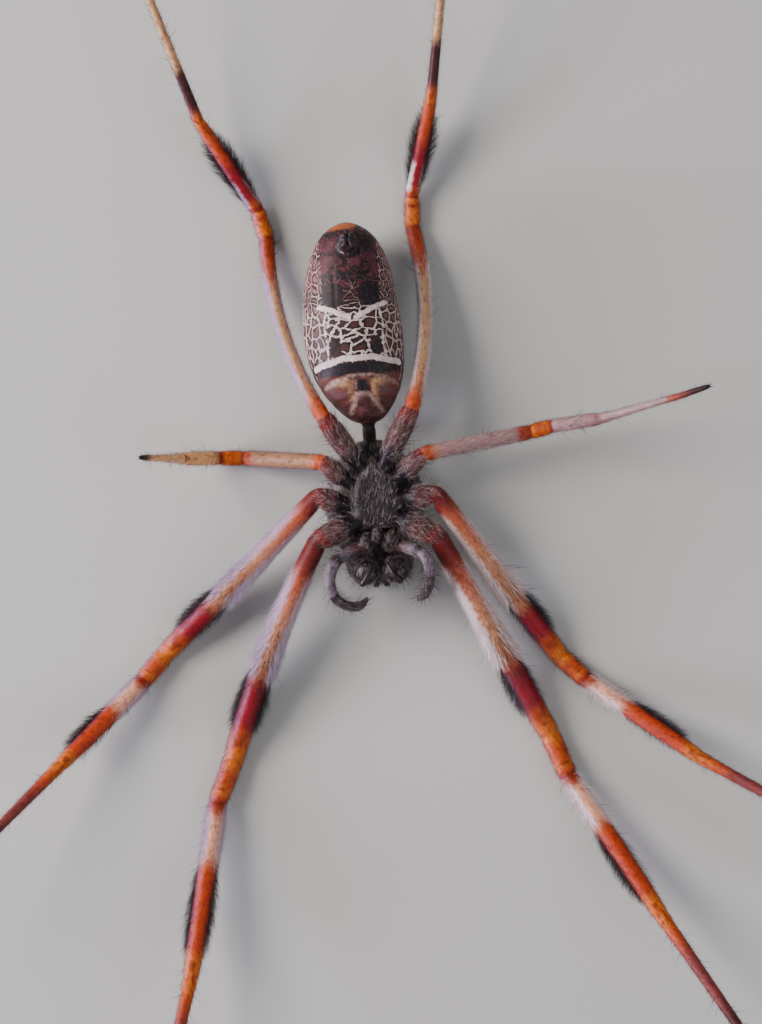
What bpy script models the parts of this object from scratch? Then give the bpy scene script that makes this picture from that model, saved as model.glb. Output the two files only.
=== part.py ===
"""Female golden silk orb weaver, life size, laid on its back just as it hangs below its web.

Metres, +Z up. +Y runs from the head to the tip of the abdomen and the belly faces up, so the
spider's own right side is at +X. Sizes below are in millimetres. They are laid out from the
pedicel, the narrow waist, and the finished model is then moved so that its origin lies on the
floor below the middle of its box. Knees, carapace and abdomen rest on small flats at z = 0.
"""
import math
import random
from collections import namedtuple

import bmesh
import bpy
import numpy as np
from mathutils import Vector

MM = 0.001
GAP = 0.3  # kept between neighbouring pieces
EYE_GAP = 0.1

# Legs: thickness
LEG_SIDES = 10
FOOT_SIDES = 8
SEGMENTS = ("coxa", "femur", "patella", "tibia", "metatarsus", "tarsus")
RINGS = {"coxa": 4, "femur": 8, "patella": 2, "tibia": 6, "metatarsus": 6, "tarsus": 2}
JOINT_ROUNDING = 0.12  # share of the radius lost at a joint
JOINT_REACH = 0.35  # how far from the joint the rounding reaches
# Radius at the base, middle and end of each segment, for each pair of legs
RADII = {
    1: {"coxa": (0.80, 1.08, 0.88), "femur": (0.84, 0.96, 0.88), "patella": (0.78, 0.84, 0.78),
        "tibia": (0.78, 0.80, 0.68), "metatarsus": (0.58, 0.46, 0.34), "tarsus": (0.33, 0.30, 0.20)},
    2: {"coxa": (0.74, 1.02, 0.84), "femur": (0.80, 0.90, 0.82), "patella": (0.74, 0.80, 0.74),
        "tibia": (0.72, 0.74, 0.62), "metatarsus": (0.54, 0.42, 0.32), "tarsus": (0.31, 0.28, 0.20)},
    3: {"coxa": (0.68, 0.90, 0.70), "femur": (0.64, 0.68, 0.62), "patella": (0.58, 0.64, 0.58),
        "tibia": (0.56, 0.60, 0.54), "metatarsus": (0.42, 0.34, 0.28), "tarsus": (0.28, 0.27, 0.20)},
    4: {"coxa": (0.70, 0.95, 0.74), "femur": (0.62, 0.58, 0.66), "patella": (0.62, 0.66, 0.60),
        "tibia": (0.60, 0.62, 0.54), "metatarsus": (0.46, 0.38, 0.30), "tarsus": (0.29, 0.27, 0.20)},
}

# Brushes of long hair: which share of which segment they cover, as locks set on its surface
BRUSHES = {(1, "femur"): (0.60, 0.87), (1, "tibia"): (0.36, 0.86),
           (2, "femur"): (0.60, 0.86), (2, "tibia"): (0.36, 0.84), (4, "tibia"): (0.12, 0.80)}
BRUSH_CORE = 0.34  # how far the short, dense under-hair thickens a brush
BRUSH_FADE = 1.0  # over how much of its length that thickening comes and goes
LOCK_STEP = 1.0  # along the segment, from one row of locks to the next
LOCK_TURNS = ((72, -72, 138), (104, -104, -138))  # degrees round from the belly side
LOCK_TURN_SPREAD = 9
LOCK_REACH = 0.85  # how far the tips stand out of the segment
LOCK_REACH_SPREAD = 0.15
LOCK_ROOT = 0.45  # depth of the root, as a share of the segment's radius
LOCK_SWEEP = 1.9  # how far the tips lie beyond their roots along the segment
LOCK_SHAPE = ((0.0, 0.90, 0.56), (0.42, 0.95, 0.54), (0.78, 0.56, 0.38))  # place, width, thickness
LOCK_CORNERS = ((0.5, -0.33), (-0.5, -0.33), (0.0, 0.67))  # of its three-sided section
LOWEST_LOCK = 0.12  # locks near the floor bend to stay this high above it
FLOOR_BEND = 0.5

# Legs: pose. A run is the length of a segment seen from straight above, a heading its direction
# in degrees from +X, and the heights are those of hip, knee and the ends of the next segments.
Leg = namedtuple("Leg", "name pair root hip runs headings heights bow")
LEGS = (
    Leg("leg_right_1", 1, (2.05, -7.25), (4.8, -8.8), (18.5, 3.6, 13.3, 16.8, 3.6),
        (-65, -71, -61, -60, -61), (4.6, 0.68, 1.05, 4.2, 10.5, 11.6), 0.0),
    Leg("leg_left_1", 1, (-2.05, -7.25), (-4.8, -8.4), (18.9, 3.8, 14.1, 16.8, 3.7),
        (-116, -115, -103, -107, -108), (4.6, 0.68, 1.05, 4.2, 10.5, 11.6), 0.5),
    Leg("leg_right_2", 2, (2.75, -5.5), (5.0, -5.5), (16.5, 2.7, 11.0, 14.2, 3.3),
        (-57, -47, -39, -33, -32), (4.7, 0.62, 0.95, 3.6, 9.0, 9.8), 0.0),
    Leg("leg_left_2", 2, (-2.75, -5.5), (-4.6, -4.9), (17.7, 2.8, 9.4, 13.9, 3.4),
        (-139, -134, -139, -139, -140), (4.7, 0.62, 0.95, 3.6, 9.0, 9.8), 0.0),
    Leg("leg_right_3", 3, (2.2, -3.7), (4.2, -2.1), (8.8, 1.8, 3.9, 6.3, 2.3),
        (7, 10, 4, 11, 14), (4.7, 3.4, 3.7, 5.0, 8.2, 9.2), 0.0),
    Leg("leg_left_3", 3, (-2.2, -3.7), (-3.9, -2.1), (6.5, 2.0, 2.8, 2.1, 0.7),
        (172, 175, 177, 176, 177), (4.7, 0.50, 0.9, 3.8, 9.9, 12.2), 0.0),
    Leg("leg_right_4", 4, (1.25, -2.25), (3.6, 1.7), (14.7, 2.5, 8.0, 14.0, 3.1),
        (85, 87, 74, 80, 80), (5.3, 0.54, 0.85, 3.2, 8.2, 9.0), 1.0),
    Leg("leg_left_4", 4, (-1.25, -2.25), (-3.6, 1.6), (15.2, 2.4, 8.4, 14.0, 3.0),
        (103, 103, 119, 107, 107), (5.3, 0.54, 0.85, 3.2, 8.2, 9.0), -1.0),
)
ROOT_HEIGHT = 4.5

# Trunk: stations along +Y with half width, lowest and highest point, poles at both ends
Station = namedtuple("Station", "y half_width low high")
ABDOMEN = (
    Station(0.65, 0.0, 3.7, 3.7), Station(1.1, 1.4, 2.4, 4.9), Station(2.7, 2.75, 1.1, 6.0),
    Station(4.6, 3.6, 0.25, 6.7), Station(7.0, 4.0, -0.06, 7.0), Station(9.5, 3.95, -0.02, 7.0),
    Station(12.0, 3.65, 0.3, 6.8), Station(14.5, 2.95, 0.9, 6.3), Station(16.2, 1.8, 1.9, 5.5),
    Station(17.0, 0.0, 3.7, 3.7),
)
CARAPACE = (
    Station(-0.65, 0.0, 2.3, 2.3), Station(-1.1, 1.7, 1.0, 3.3), Station(-2.8, 3.1, 0.4, 3.5),
    Station(-5.0, 4.0, 0.15, 3.6), Station(-7.2, 3.8, 0.0, 3.6), Station(-8.6, 3.3, -0.06, 3.4),
    Station(-9.4, 3.0, -0.04, 2.4), Station(-10.2, 2.85, 0.0, 1.9), Station(-11.6, 2.3, 0.2, 1.8),
    Station(-12.2, 0.0, 0.95, 0.95),
)
STERNUM = (
    Station(-2.1, 0.0, 4.1, 4.1), Station(-2.6, 0.55, 3.0, 4.7), Station(-3.8, 1.5, 3.0, 5.1),
    Station(-5.5, 2.2, 3.0, 5.2), Station(-6.9, 1.85, 3.0, 5.1), Station(-7.6, 1.2, 3.0, 4.8),
    Station(-7.9, 0.0, 4.1, 4.1),
)
CARAPACE_FRONT = 6.0  # from this station on, the carapace is the front of the head
# Eyes: distance from the middle, height and radius
EYES = (("front_middle", 0.42, 1.05, 0.25), ("rear_middle", 0.40, 0.50, 0.25),
        ("front_side", 1.45, 1.15, 0.21), ("rear_side", 1.62, 0.66, 0.21))
ABDOMEN_LEAN = -0.8  # the abdomen hangs a little to the left of the head's axis
ABDOMEN_SQUARENESS = 2.2
CARAPACE_SQUARENESS = 2.1
STERNUM_SQUARENESS = 3.0


def remove_all_objects():
    for thing in list(bpy.data.objects):
        bpy.data.objects.remove(thing, do_unlink=True)


def material(name, color, roughness):
    finish = bpy.data.materials.new(name)
    finish.use_nodes = True
    shader = finish.node_tree.nodes["Principled BSDF"]
    shader.inputs["Base Color"].default_value = (*color, 1.0)
    shader.inputs["Roughness"].default_value = roughness
    shader.inputs["Metallic"].default_value = 0.0
    return finish


def mesh_object(name, verts, faces, finish):
    """A named object whose mesh has these points, given in millimetres."""
    mesh = bpy.data.meshes.new(name)
    mesh.from_pydata([tuple(Vector(v) * MM) for v in verts], [], faces)
    mesh.update()
    made = bpy.data.objects.new(name, mesh)
    bpy.context.scene.collection.objects.link(made)
    mesh.materials.append(finish)
    point_faces_out(mesh)
    mesh.shade_smooth()
    return made


def point_faces_out(mesh):
    work = bmesh.new()
    work.from_mesh(mesh)
    bmesh.ops.recalc_face_normals(work, faces=work.faces)
    if work.calc_volume(signed=True) < 0:
        bmesh.ops.reverse_faces(work, faces=work.faces)
    work.to_mesh(mesh)
    work.free()


def rest_on_floor(made):
    """Cuts off what lies below the floor and closes the cut with a flat."""
    work = bmesh.new()
    work.from_mesh(made.data)
    if min(v.co.z for v in work.verts) < 0:
        geometry = work.verts[:] + work.edges[:] + work.faces[:]
        bmesh.ops.bisect_plane(work, geom=geometry, plane_co=(0, 0, 0), plane_no=(0, 0, 1),
                               clear_inner=True, dist=1e-9)
        rim = [edge for edge in work.edges if edge.is_boundary]
        bmesh.ops.contextual_create(work, geom=rim)
        work.to_mesh(made.data)
    work.free()
    point_faces_out(made.data)


def keep_largest_body(made):
    """Leaves only the largest closed surface of a mesh."""
    work = bmesh.new()
    work.from_mesh(made.data)
    left = set(work.verts)
    bodies = []
    while left:
        stack = [left.pop()]
        body = set(stack)
        while stack:
            for edge in stack.pop().link_edges:
                for vert in edge.verts:
                    if vert not in body:
                        body.add(vert)
                        stack.append(vert)
        left -= body
        bodies.append(body)
    bodies.sort(key=len)
    for body in bodies[:-1]:
        bmesh.ops.delete(work, geom=list(body), context="VERTS")
    work.to_mesh(made.data)
    work.free()


def fuse(made, others):
    """Joins other closed objects to one by a Boolean union, and removes them."""
    group = bpy.data.collections.new("fuse_" + made.name)
    bpy.context.scene.collection.children.link(group)
    for other in others:
        bpy.context.scene.collection.objects.unlink(other)
        group.objects.link(other)
    union = made.modifiers.new("union", "BOOLEAN")
    union.operation = "UNION"
    union.operand_type = "COLLECTION"
    union.collection = group
    union.solver = "EXACT"
    union.use_self = True
    seen = made.evaluated_get(bpy.context.evaluated_depsgraph_get())
    joined = bpy.data.meshes.new_from_object(seen)
    made.modifiers.clear()
    made.data = joined
    for other in others:
        bpy.data.objects.remove(other, do_unlink=True)
    bpy.data.collections.remove(group)
    keep_largest_body(made)


def skin_of_rings(rings):
    """Faces that join equal rings of points in order, with flat ends."""
    sides = len(rings[0])
    faces = []
    for row in range(len(rings) - 1):
        for k in range(sides):
            after = (k + 1) % sides
            faces.append((row * sides + k, row * sides + after,
                          (row + 1) * sides + after, (row + 1) * sides + k))
    last = (len(rings) - 1) * sides
    faces.append(tuple(range(sides)))
    faces.append(tuple(last + k for k in range(sides)))
    return faces


def through_three(values, t):
    """The smooth curve through a value at the start, the middle and the end."""
    start, middle, end = values
    return start * (1 - t) * (1 - 2 * t) + middle * 4 * t * (1 - t) + end * t * (2 * t - 1)


def frame_across(direction):
    """Two directions across a given one: upwards, and to the side."""
    up = Vector((0, 0, 1)) - direction * direction.z
    up.normalize()
    return up, direction.cross(up)


def ring_of_points(centre, direction, radius, core, sides):
    """A ring across the leg; a brush's core thickens it most at both sides."""
    up, side = frame_across(direction)
    ring = []
    for k in range(sides):
        angle = 2 * math.pi * k / sides
        reach = radius + core * (0.3 + 0.7 * abs(math.sin(angle)))
        ring.append(centre + reach * math.cos(angle) * up + reach * math.sin(angle) * side)
    return ring


class LegLine:
    """The centre line and thickness of one leg, segment by segment."""

    def __init__(self, leg):
        self.leg = leg
        self.joints = [Vector((*leg.root, ROOT_HEIGHT)), Vector((*leg.hip, leg.heights[0]))]
        for run, heading, height in zip(leg.runs, leg.headings, leg.heights[1:]):
            angle = math.radians(heading)
            last = self.joints[-1]
            self.joints.append(Vector((last.x + run * math.cos(angle),
                                       last.y + run * math.sin(angle), height)))

    def ends(self, segment):
        k = SEGMENTS.index(segment)
        return self.joints[k], self.joints[k + 1]

    def control(self, segment):
        start, end = self.ends(segment)
        middle = (start + end) / 2
        if segment != "femur":
            return middle
        along = (end - start).normalized()
        return middle + 2 * self.leg.bow * along.cross(Vector((0, 0, 1))).normalized()

    def length(self, segment):
        start, end = self.ends(segment)
        return (end - start).length

    def point(self, segment, t):
        start, end = self.ends(segment)
        bend = self.control(segment)
        return start * (1 - t) ** 2 + bend * 2 * t * (1 - t) + end * t ** 2

    def tangent(self, segment, t):
        start, end = self.ends(segment)
        bend = self.control(segment)
        return ((bend - start) * (1 - t) + (end - bend) * t).normalized()

    def direction(self, segment, t):
        """The tangent, turned near each joint towards the next segment's."""
        k = SEGMENTS.index(segment)
        here = self.tangent(segment, t)
        reach = 1.5 / self.length(segment)
        if k > 0 and t < reach:
            before = self.tangent(SEGMENTS[k - 1], 1.0)
            mitre = (before + self.tangent(segment, 0.0)).normalized()
            here = here.lerp(mitre, 1 - t / reach)
        if k < len(SEGMENTS) - 1 and t > 1 - reach:
            after = self.tangent(SEGMENTS[k + 1], 0.0)
            mitre = (after + self.tangent(segment, 1.0)).normalized()
            here = here.lerp(mitre, 1 - (1 - t) / reach)
        return here.normalized()

    def radius(self, segment, t):
        size = through_three(RADII[self.leg.pair][segment], t)
        from_joint = min(t, 1 - t) * self.length(segment)
        return size * (1 - JOINT_ROUNDING * math.exp(-(from_joint / JOINT_REACH) ** 2))

    def core(self, segment, t):
        """How far a brush's under-hair thickens the segment here."""
        if (self.leg.pair, segment) not in BRUSHES:
            return 0.0
        first, last = BRUSHES[self.leg.pair, segment]
        inside = min(t - first, last + 0.04 - t) * self.length(segment) / BRUSH_FADE
        return BRUSH_CORE * min(max(inside, 0.0), 1.0)

    def stations(self, segment, gap_before, gap_after):
        """Places along a segment, from one joint's gap to the next one's."""
        length = self.length(segment)
        first = gap_before / length
        last = 1 - gap_after / length
        inner = [first + JOINT_REACH / length, last - JOINT_REACH / length]
        steps = RINGS[segment] - 1
        between = [inner[0] + (inner[1] - inner[0]) * k / steps for k in range(steps + 1)]
        return [first, *between, last]


def leg_piece(line, segments, sides, finish):
    """One solid for one or more segments in a row."""
    rings = []
    for segment in segments:
        gap_before = GAP / 2 if segment == segments[0] else 0.0
        gap_after = GAP / 2 if segment == segments[-1] else 0.0
        for t in line.stations(segment, gap_before, gap_after):
            if rings and t == 0.0:
                continue
            rings.append(ring_of_points(line.point(segment, t), line.direction(segment, t),
                                        line.radius(segment, t), line.core(segment, t), sides))
    name = line.leg.name + "_" + ("foot" if len(segments) > 1 else segments[0])
    verts = [point for ring in rings for point in ring]
    made = mesh_object(name, verts, skin_of_rings(rings), finish)
    if (line.leg.pair, segments[0]) in BRUSHES:
        add_brush(made, line, segments[0], finish)
    rest_on_floor(made)
    return made


def bent_off_floor(point):
    """Lifts what would come too near the floor, so that a lock bends along it."""
    if point.z >= FLOOR_BEND:
        return point
    room = FLOOR_BEND - LOWEST_LOCK
    height = LOWEST_LOCK + room * math.exp((point.z - FLOOR_BEND) / room)
    return Vector((point.x, point.y, height))


def lock(name, root, out, along, reach, sweep, finish):
    """One flat, tapered lock that leaves the surface and bends over along the segment."""
    side = out.cross(along).normalized()

    def centre(t):
        return root + out * reach * (1.3 * t - 0.3 * t * t) + along * sweep * (0.7 * t + 0.3 * t * t)

    verts = []
    for t, width, thickness in LOCK_SHAPE:
        lie = (centre(t + 0.01) - centre(t)).normalized()
        across = side.cross(lie)
        for a, b in LOCK_CORNERS:
            verts.append(bent_off_floor(centre(t) + across * a * width + side * b * thickness))
    verts.append(bent_off_floor(centre(1.0)))
    faces = [(0, 1, 2)]
    tip = len(verts) - 1
    for k in range(3):
        after = (k + 1) % 3
        for row in range(len(LOCK_SHAPE) - 1):
            base = row * 3
            faces.append((base + k, base + 3 + k, base + 3 + after, base + after))
        faces.append((tip - 3 + k, tip, tip - 3 + after))
    return mesh_object(name, verts, faces, finish)


def add_brush(made, line, segment, finish):
    """Sets the locks of one segment's brush in rows, and fuses them to it."""
    first, last = BRUSHES[line.leg.pair, segment]
    draw = random.Random(line.leg.name + segment)
    rows = round((last - first) * line.length(segment) / LOCK_STEP)
    locks = []
    for row in range(rows + 1):
        t = first + (last - first) * row / rows
        direction = line.direction(segment, t)
        up, side = frame_across(direction)
        radius = line.radius(segment, t)
        for turn in LOCK_TURNS[row % 2]:
            angle = math.radians(turn + draw.uniform(-LOCK_TURN_SPREAD, LOCK_TURN_SPREAD))
            out = math.cos(angle) * up + math.sin(angle) * side
            reach = LOCK_REACH * (1 + draw.uniform(-LOCK_REACH_SPREAD, LOCK_REACH_SPREAD))
            root = line.point(segment, t) + out * radius * (1 - LOCK_ROOT)
            locks.append(lock("lock", root, out, direction, reach + radius * LOCK_ROOT,
                              LOCK_SWEEP, finish))
    fuse(made, locks)


def make_leg(leg, finishes):
    line = LegLine(leg)
    leg_piece(line, ("coxa",), LEG_SIDES, finishes["coxa"])
    leg_piece(line, ("femur",), LEG_SIDES, finishes["femur"])
    leg_piece(line, ("patella",), LEG_SIDES, finishes["patella"])
    leg_piece(line, ("tibia",), LEG_SIDES, finishes["tibia"])
    leg_piece(line, ("metatarsus", "tarsus"), FOOT_SIDES, finishes["foot"])


def station_at(stations, place):
    """A station between two of the list, on a smooth curve that closes squarely at both poles."""
    rows = [np.array(row, dtype=float) for row in stations]
    opposite = []
    for pole, beside in ((rows[0], rows[1]), (rows[-1], rows[-2])):
        opposite.append(np.array((beside[0], -beside[1], 2 * pole[2] - beside[2],
                                  2 * pole[3] - beside[3])))
    rows = [opposite[0], *rows, opposite[1]]
    k = min(int(place), len(stations) - 2)
    t = place - k
    a, b, c, d = rows[k:k + 4]
    smooth = 0.5 * (2 * b + (c - a) * t + (2 * a - 5 * b + 4 * c - d) * t ** 2
                    + (3 * b - a - 3 * c + d) * t ** 3)
    return Station(*smooth)


def trunk_point(stations, squareness, place, angle, lean=0.0):
    """A point of a trunk's surface: angle 0 faces up, a quarter turn faces +X."""
    here = station_at(stations, place)
    first, last = stations[0].y, stations[-1].y
    share = (here.y - first) / (last - first)
    power = 2 / squareness
    side = math.copysign(abs(math.sin(angle)) ** power, math.sin(angle))
    rise = math.copysign(abs(math.cos(angle)) ** power, math.cos(angle))
    middle = (here.low + here.high) / 2
    shift = lean * math.sin(math.pi * min(1.0, share * 1.6) / 2) * (1 - 0.3 * share)
    return Vector((shift + here.half_width * side, here.y,
                   middle + (here.high - here.low) / 2 * rise))


def trunk(name, stations, squareness, sides, rows, finish, lean=0.0):
    """A closed body through its stations, each end gathered to one point."""
    last = len(stations) - 1
    verts = [trunk_point(stations, squareness, 0.0, 0.0, lean)]
    faces = []
    places = [last * k / rows for k in range(1, rows)]
    for place in places:
        for k in range(sides):
            verts.append(trunk_point(stations, squareness, place, 2 * math.pi * k / sides, lean))
    verts.append(trunk_point(stations, squareness, last, 0.0, lean))
    for k in range(sides):
        after = (k + 1) % sides
        faces.append((0, 1 + k, 1 + after))
        end = 1 + (len(places) - 1) * sides
        faces.append((len(verts) - 1, end + after, end + k))
        for row in range(len(places) - 1):
            base = 1 + row * sides
            faces.append((base + k, base + sides + k, base + sides + after, base + after))
    return mesh_object(name, verts, faces, finish)


def tapered_limb(name, points, radii, sides, finish, rings_between=3):
    """A bent limb through a few points, with a radius at each."""
    knots = [np.array((*p, r), dtype=float) for p, r in zip(points, radii)]
    knots = [2 * knots[0] - knots[1], *knots, 2 * knots[-1] - knots[-2]]
    line = []
    for k in range(len(points) - 1):
        a, b, c, d = knots[k:k + 4]
        for step in range(rings_between):
            t = step / rings_between
            line.append(0.5 * (2 * b + (c - a) * t + (2 * a - 5 * b + 4 * c - d) * t ** 2
                               + (3 * b - a - 3 * c + d) * t ** 3))
    line.append(knots[-2])
    verts = []
    count = len(line)
    across = None
    for k, row in enumerate(line):
        before = line[max(k - 1, 0)][:3]
        after = line[min(k + 1, count - 1)][:3]
        direction = Vector(after - before).normalized()
        if across is None:
            across = direction.orthogonal()
        across = (across - direction * across.dot(direction)).normalized()
        side = direction.cross(across)
        for s in range(sides):
            a = 2 * math.pi * s / sides
            spoke = math.cos(a) * across + math.sin(a) * side
            verts.append(Vector(row[:3]) + float(row[3]) * spoke)
    rings = [verts[k * sides:(k + 1) * sides] for k in range(count)]
    return mesh_object(name, verts, skin_of_rings(rings), finish)


def ellipsoid(name, centre, radii, finish, sides=12, rows=6):
    """A closed ellipsoid, its poles along Z."""
    verts = [(centre[0], centre[1], centre[2] - radii[2])]
    for row in range(1, rows):
        polar = math.pi * row / rows
        for k in range(sides):
            a = 2 * math.pi * k / sides
            verts.append((centre[0] + radii[0] * math.sin(polar) * math.cos(a),
                          centre[1] + radii[1] * math.sin(polar) * math.sin(a),
                          centre[2] - radii[2] * math.cos(polar)))
    verts.append((centre[0], centre[1], centre[2] + radii[2]))
    faces = []
    end = 1 + (rows - 2) * sides
    for k in range(sides):
        after = (k + 1) % sides
        faces.append((0, 1 + after, 1 + k))
        faces.append((len(verts) - 1, end + k, end + after))
        for row in range(rows - 2):
            base = 1 + row * sides
            faces.append((base + k, base + after, base + sides + after, base + sides + k))
    return mesh_object(name, verts, faces, finish)


def make_abdomen(finish):
    made = trunk("abdomen", ABDOMEN, ABDOMEN_SQUARENESS, 26, 22, finish, ABDOMEN_LEAN)
    epigyne = ellipsoid("epigyne", (-0.25, 3.55, 6.2), (0.75, 0.5, 0.42), finish, 10, 5)
    fuse(made, [epigyne])
    rest_on_floor(made)


def make_cephalothorax(finish):
    made = trunk("cephalothorax", CARAPACE, CARAPACE_SQUARENESS, 22, 20, finish)
    sternum = trunk("sternum", STERNUM, STERNUM_SQUARENESS, 14, 10, finish)
    lip = ellipsoid("lip", (0.0, -8.2, 4.0), (0.55, 0.7, 1.0), finish, 10, 5)
    jaws = [ellipsoid("jaw", (side * 1.05, -8.75, 3.8), (0.72, 0.85, 1.35), finish, 10, 6)
            for side in (-1, 1)]
    fuse(made, [sternum, lip, *jaws])
    rest_on_floor(made)


def make_pedicel(finish):
    tapered_limb("pedicel", ((0, -0.32, 2.9), (0, 0, 3.1), (0, 0.32, 3.3)), (0.55, 0.5, 0.55),
                 8, finish, 2)


def make_chelicerae(finishes):
    for side, word in ((1, "right"), (-1, "left")):
        tapered_limb("chelicera_" + word,
                     ((side * 1.3, -11.0, 2.2), (side * 1.28, -11.1, 3.2), (side * 1.22, -11.2, 4.6),
                      (side * 1.12, -11.3, 5.5), (side * 1.1, -11.35, 5.8)),
                     (0.85, 1.05, 1.08, 0.85, 0.5), 11, finishes["chelicera"], 2)
        tapered_limb("fang_" + word,
                     ((side * 1.45, -12.0, 6.25), (side * 1.15, -11.6, 6.5),
                      (side * 0.75, -10.9, 6.45), (side * 0.45, -10.3, 6.15)),
                     (0.3, 0.27, 0.18, 0.06), 7, finishes["fang"], 2)


def make_palps(finish):
    tapered_limb("palp_left",
                 ((-2.2, -9.45, 4.7), (-3.5, -10.1, 5.3), (-4.1, -11.5, 5.6), (-3.85, -12.9, 5.5),
                  (-2.9, -13.7, 5.3), (-1.9, -13.8, 5.2), (-1.2, -13.25, 5.1)),
                 (0.42, 0.5, 0.46, 0.42, 0.4, 0.38, 0.16), 8, finish, 2)
    tapered_limb("palp_right",
                 ((2.2, -9.45, 4.7), (3.3, -9.9, 5.7), (3.85, -10.7, 6.2), (3.9, -11.8, 5.8),
                  (3.7, -12.8, 5.0), (3.3, -13.4, 4.2), (2.85, -13.7, 3.5)),
                 (0.42, 0.5, 0.46, 0.42, 0.4, 0.38, 0.16), 8, finish, 2)


def outward(point_at, place, angle):
    """A surface point and the direction straight out of the surface there."""
    here = point_at(place, angle)
    along = point_at(place + 0.02, angle) - here
    round_it = point_at(place, angle + 0.02) - here
    out = along.cross(round_it).normalized()
    centre = (point_at(place, 0.0) + point_at(place, math.pi)) / 2
    if out.dot(here - centre) < 0:
        out.negate()
    return here, out


def make_spinnerets(finish):
    """Three pairs of short cones round a low mound near the end of the belly."""
    def surface(place, angle):
        return trunk_point(ABDOMEN, ABDOMEN_SQUARENESS, place, angle, ABDOMEN_LEAN)
    here, out = outward(surface, 7.3, 0.03)
    aside = out.cross(Vector((0, 1, 0))).normalized()
    back = aside.cross(out)
    start = here + out * GAP
    made = tapered_limb("spinnerets", (start, start + out * 0.2, start + out * 0.38),
                        (0.92, 0.86, 0.62), 12, finish, 1)
    cones = []
    for row, spread, reach, thick in ((-0.45, 0.38, 0.75, 0.32), (0.0, 0.26, 0.6, 0.22),
                                      (0.45, 0.38, 0.75, 0.30)):
        for side in (-1, 1):
            root = start + out * 0.2 + back * row + aside * side * spread
            tip = root + out * reach + back * row * 0.5 - aside * side * 0.1
            cones.append(tapered_limb("cone", (root, (root + tip) / 2, tip),
                                      (thick, thick * 0.8, thick * 0.35), 7, finish, 1))
    fuse(made, cones)


def inside_head(point):
    """Above 0 within the carapace, below it outside, for a point at the head's front."""
    low, high = CARAPACE_FRONT, len(CARAPACE) - 1.0
    for _ in range(30):
        middle = (low + high) / 2
        if station_at(CARAPACE, middle).y > point.y:
            low = middle
        else:
            high = middle
    here = station_at(CARAPACE, low)
    across = abs(point.x) / max(here.half_width, 1e-6)
    rise = abs(point.z - (here.low + here.high) / 2) / max((here.high - here.low) / 2, 1e-6)
    return 1 - across ** CARAPACE_SQUARENESS - rise ** CARAPACE_SQUARENESS


def front_of_head(x, z):
    """The surface point straight ahead of a place inside the head, and the way out of it."""
    behind, ahead = -9.5, CARAPACE[-1].y
    for _ in range(30):
        middle = (behind + ahead) / 2
        if inside_head(Vector((x, middle, z))) > 0:
            behind = middle
        else:
            ahead = middle
    here = Vector((x, behind, z))
    step = 0.01
    slope = [inside_head(here + axis * step) - inside_head(here - axis * step)
             for axis in (Vector((1, 0, 0)), Vector((0, 1, 0)), Vector((0, 0, 1)))]
    return here, -Vector(slope).normalized()


def make_eyes(finish):
    """Four eyes in a square at the middle of the head's front and a pair at each side of it."""
    for row, x, z, radius in EYES:
        for side, word in ((1, "right"), (-1, "left")):
            here, out = front_of_head(side * x, z)
            base = here + out * EYE_GAP
            tapered_limb("eye_" + row + "_" + word,
                         (base, base + out * radius * 0.5, base + out * radius * 0.85,
                          base + out * radius), (radius, radius * 0.87, radius * 0.5, radius * 0.1),
                         8, finish, 1)


def centre_on_floor():
    """Moves everything so that the middle of the whole box is above the origin."""
    made = [thing for thing in bpy.data.objects if thing.type == "MESH"]
    points = np.array([tuple(v.co) for thing in made for v in thing.data.vertices])
    middle = (points.min(axis=0) + points.max(axis=0)) / 2
    for thing in made:
        for vert in thing.data.vertices:
            vert.co.x -= middle[0]
            vert.co.y -= middle[1]
        thing.data.update()


def main():
    remove_all_objects()
    finishes = {
        "coxa": material("coxa_grey", (0.30, 0.24, 0.24), 0.6),
        "femur": material("femur_cream", (0.62, 0.50, 0.44), 0.6),
        "patella": material("patella_orange", (0.62, 0.20, 0.05), 0.5),
        "tibia": material("tibia_red", (0.50, 0.09, 0.04), 0.5),
        "foot": material("foot_orange", (0.48, 0.16, 0.07), 0.5),
        "chelicera": material("chelicera_black", (0.03, 0.025, 0.03), 0.4),
        "fang": material("fang_black", (0.015, 0.01, 0.01), 0.25),
    }
    make_abdomen(material("abdomen_brown", (0.13, 0.09, 0.08), 0.55))
    make_cephalothorax(material("cephalothorax_dark", (0.09, 0.07, 0.075), 0.6))
    make_pedicel(material("pedicel_brown", (0.16, 0.09, 0.07), 0.6))
    make_spinnerets(material("spinneret_brown", (0.10, 0.05, 0.04), 0.6))
    make_chelicerae(finishes)
    make_palps(material("palp_grey", (0.34, 0.27, 0.30), 0.6))
    make_eyes(material("eye_black", (0.01, 0.01, 0.01), 0.08))
    for leg in LEGS:
        make_leg(leg, finishes)
    centre_on_floor()


main()
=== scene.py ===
"""Looks of a life-size female golden silk orb weaver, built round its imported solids.

The animal lies on its back, just as it hangs below its web. Shapes are laid out in millimetres
from the waist, the narrow pedicel, as in the part's source: +Y towards the tip of the abdomen,
+X towards the animal's own right, and +Z up from the floor, so that the belly faces up.
"""
import math
from collections import namedtuple
from contextlib import contextmanager
from functools import cached_property
from types import SimpleNamespace

import bmesh
import bpy
import numpy as np
from bpy.props import FloatProperty, FloatVectorProperty, IntProperty, PointerProperty
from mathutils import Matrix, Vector, kdtree, noise


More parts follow.
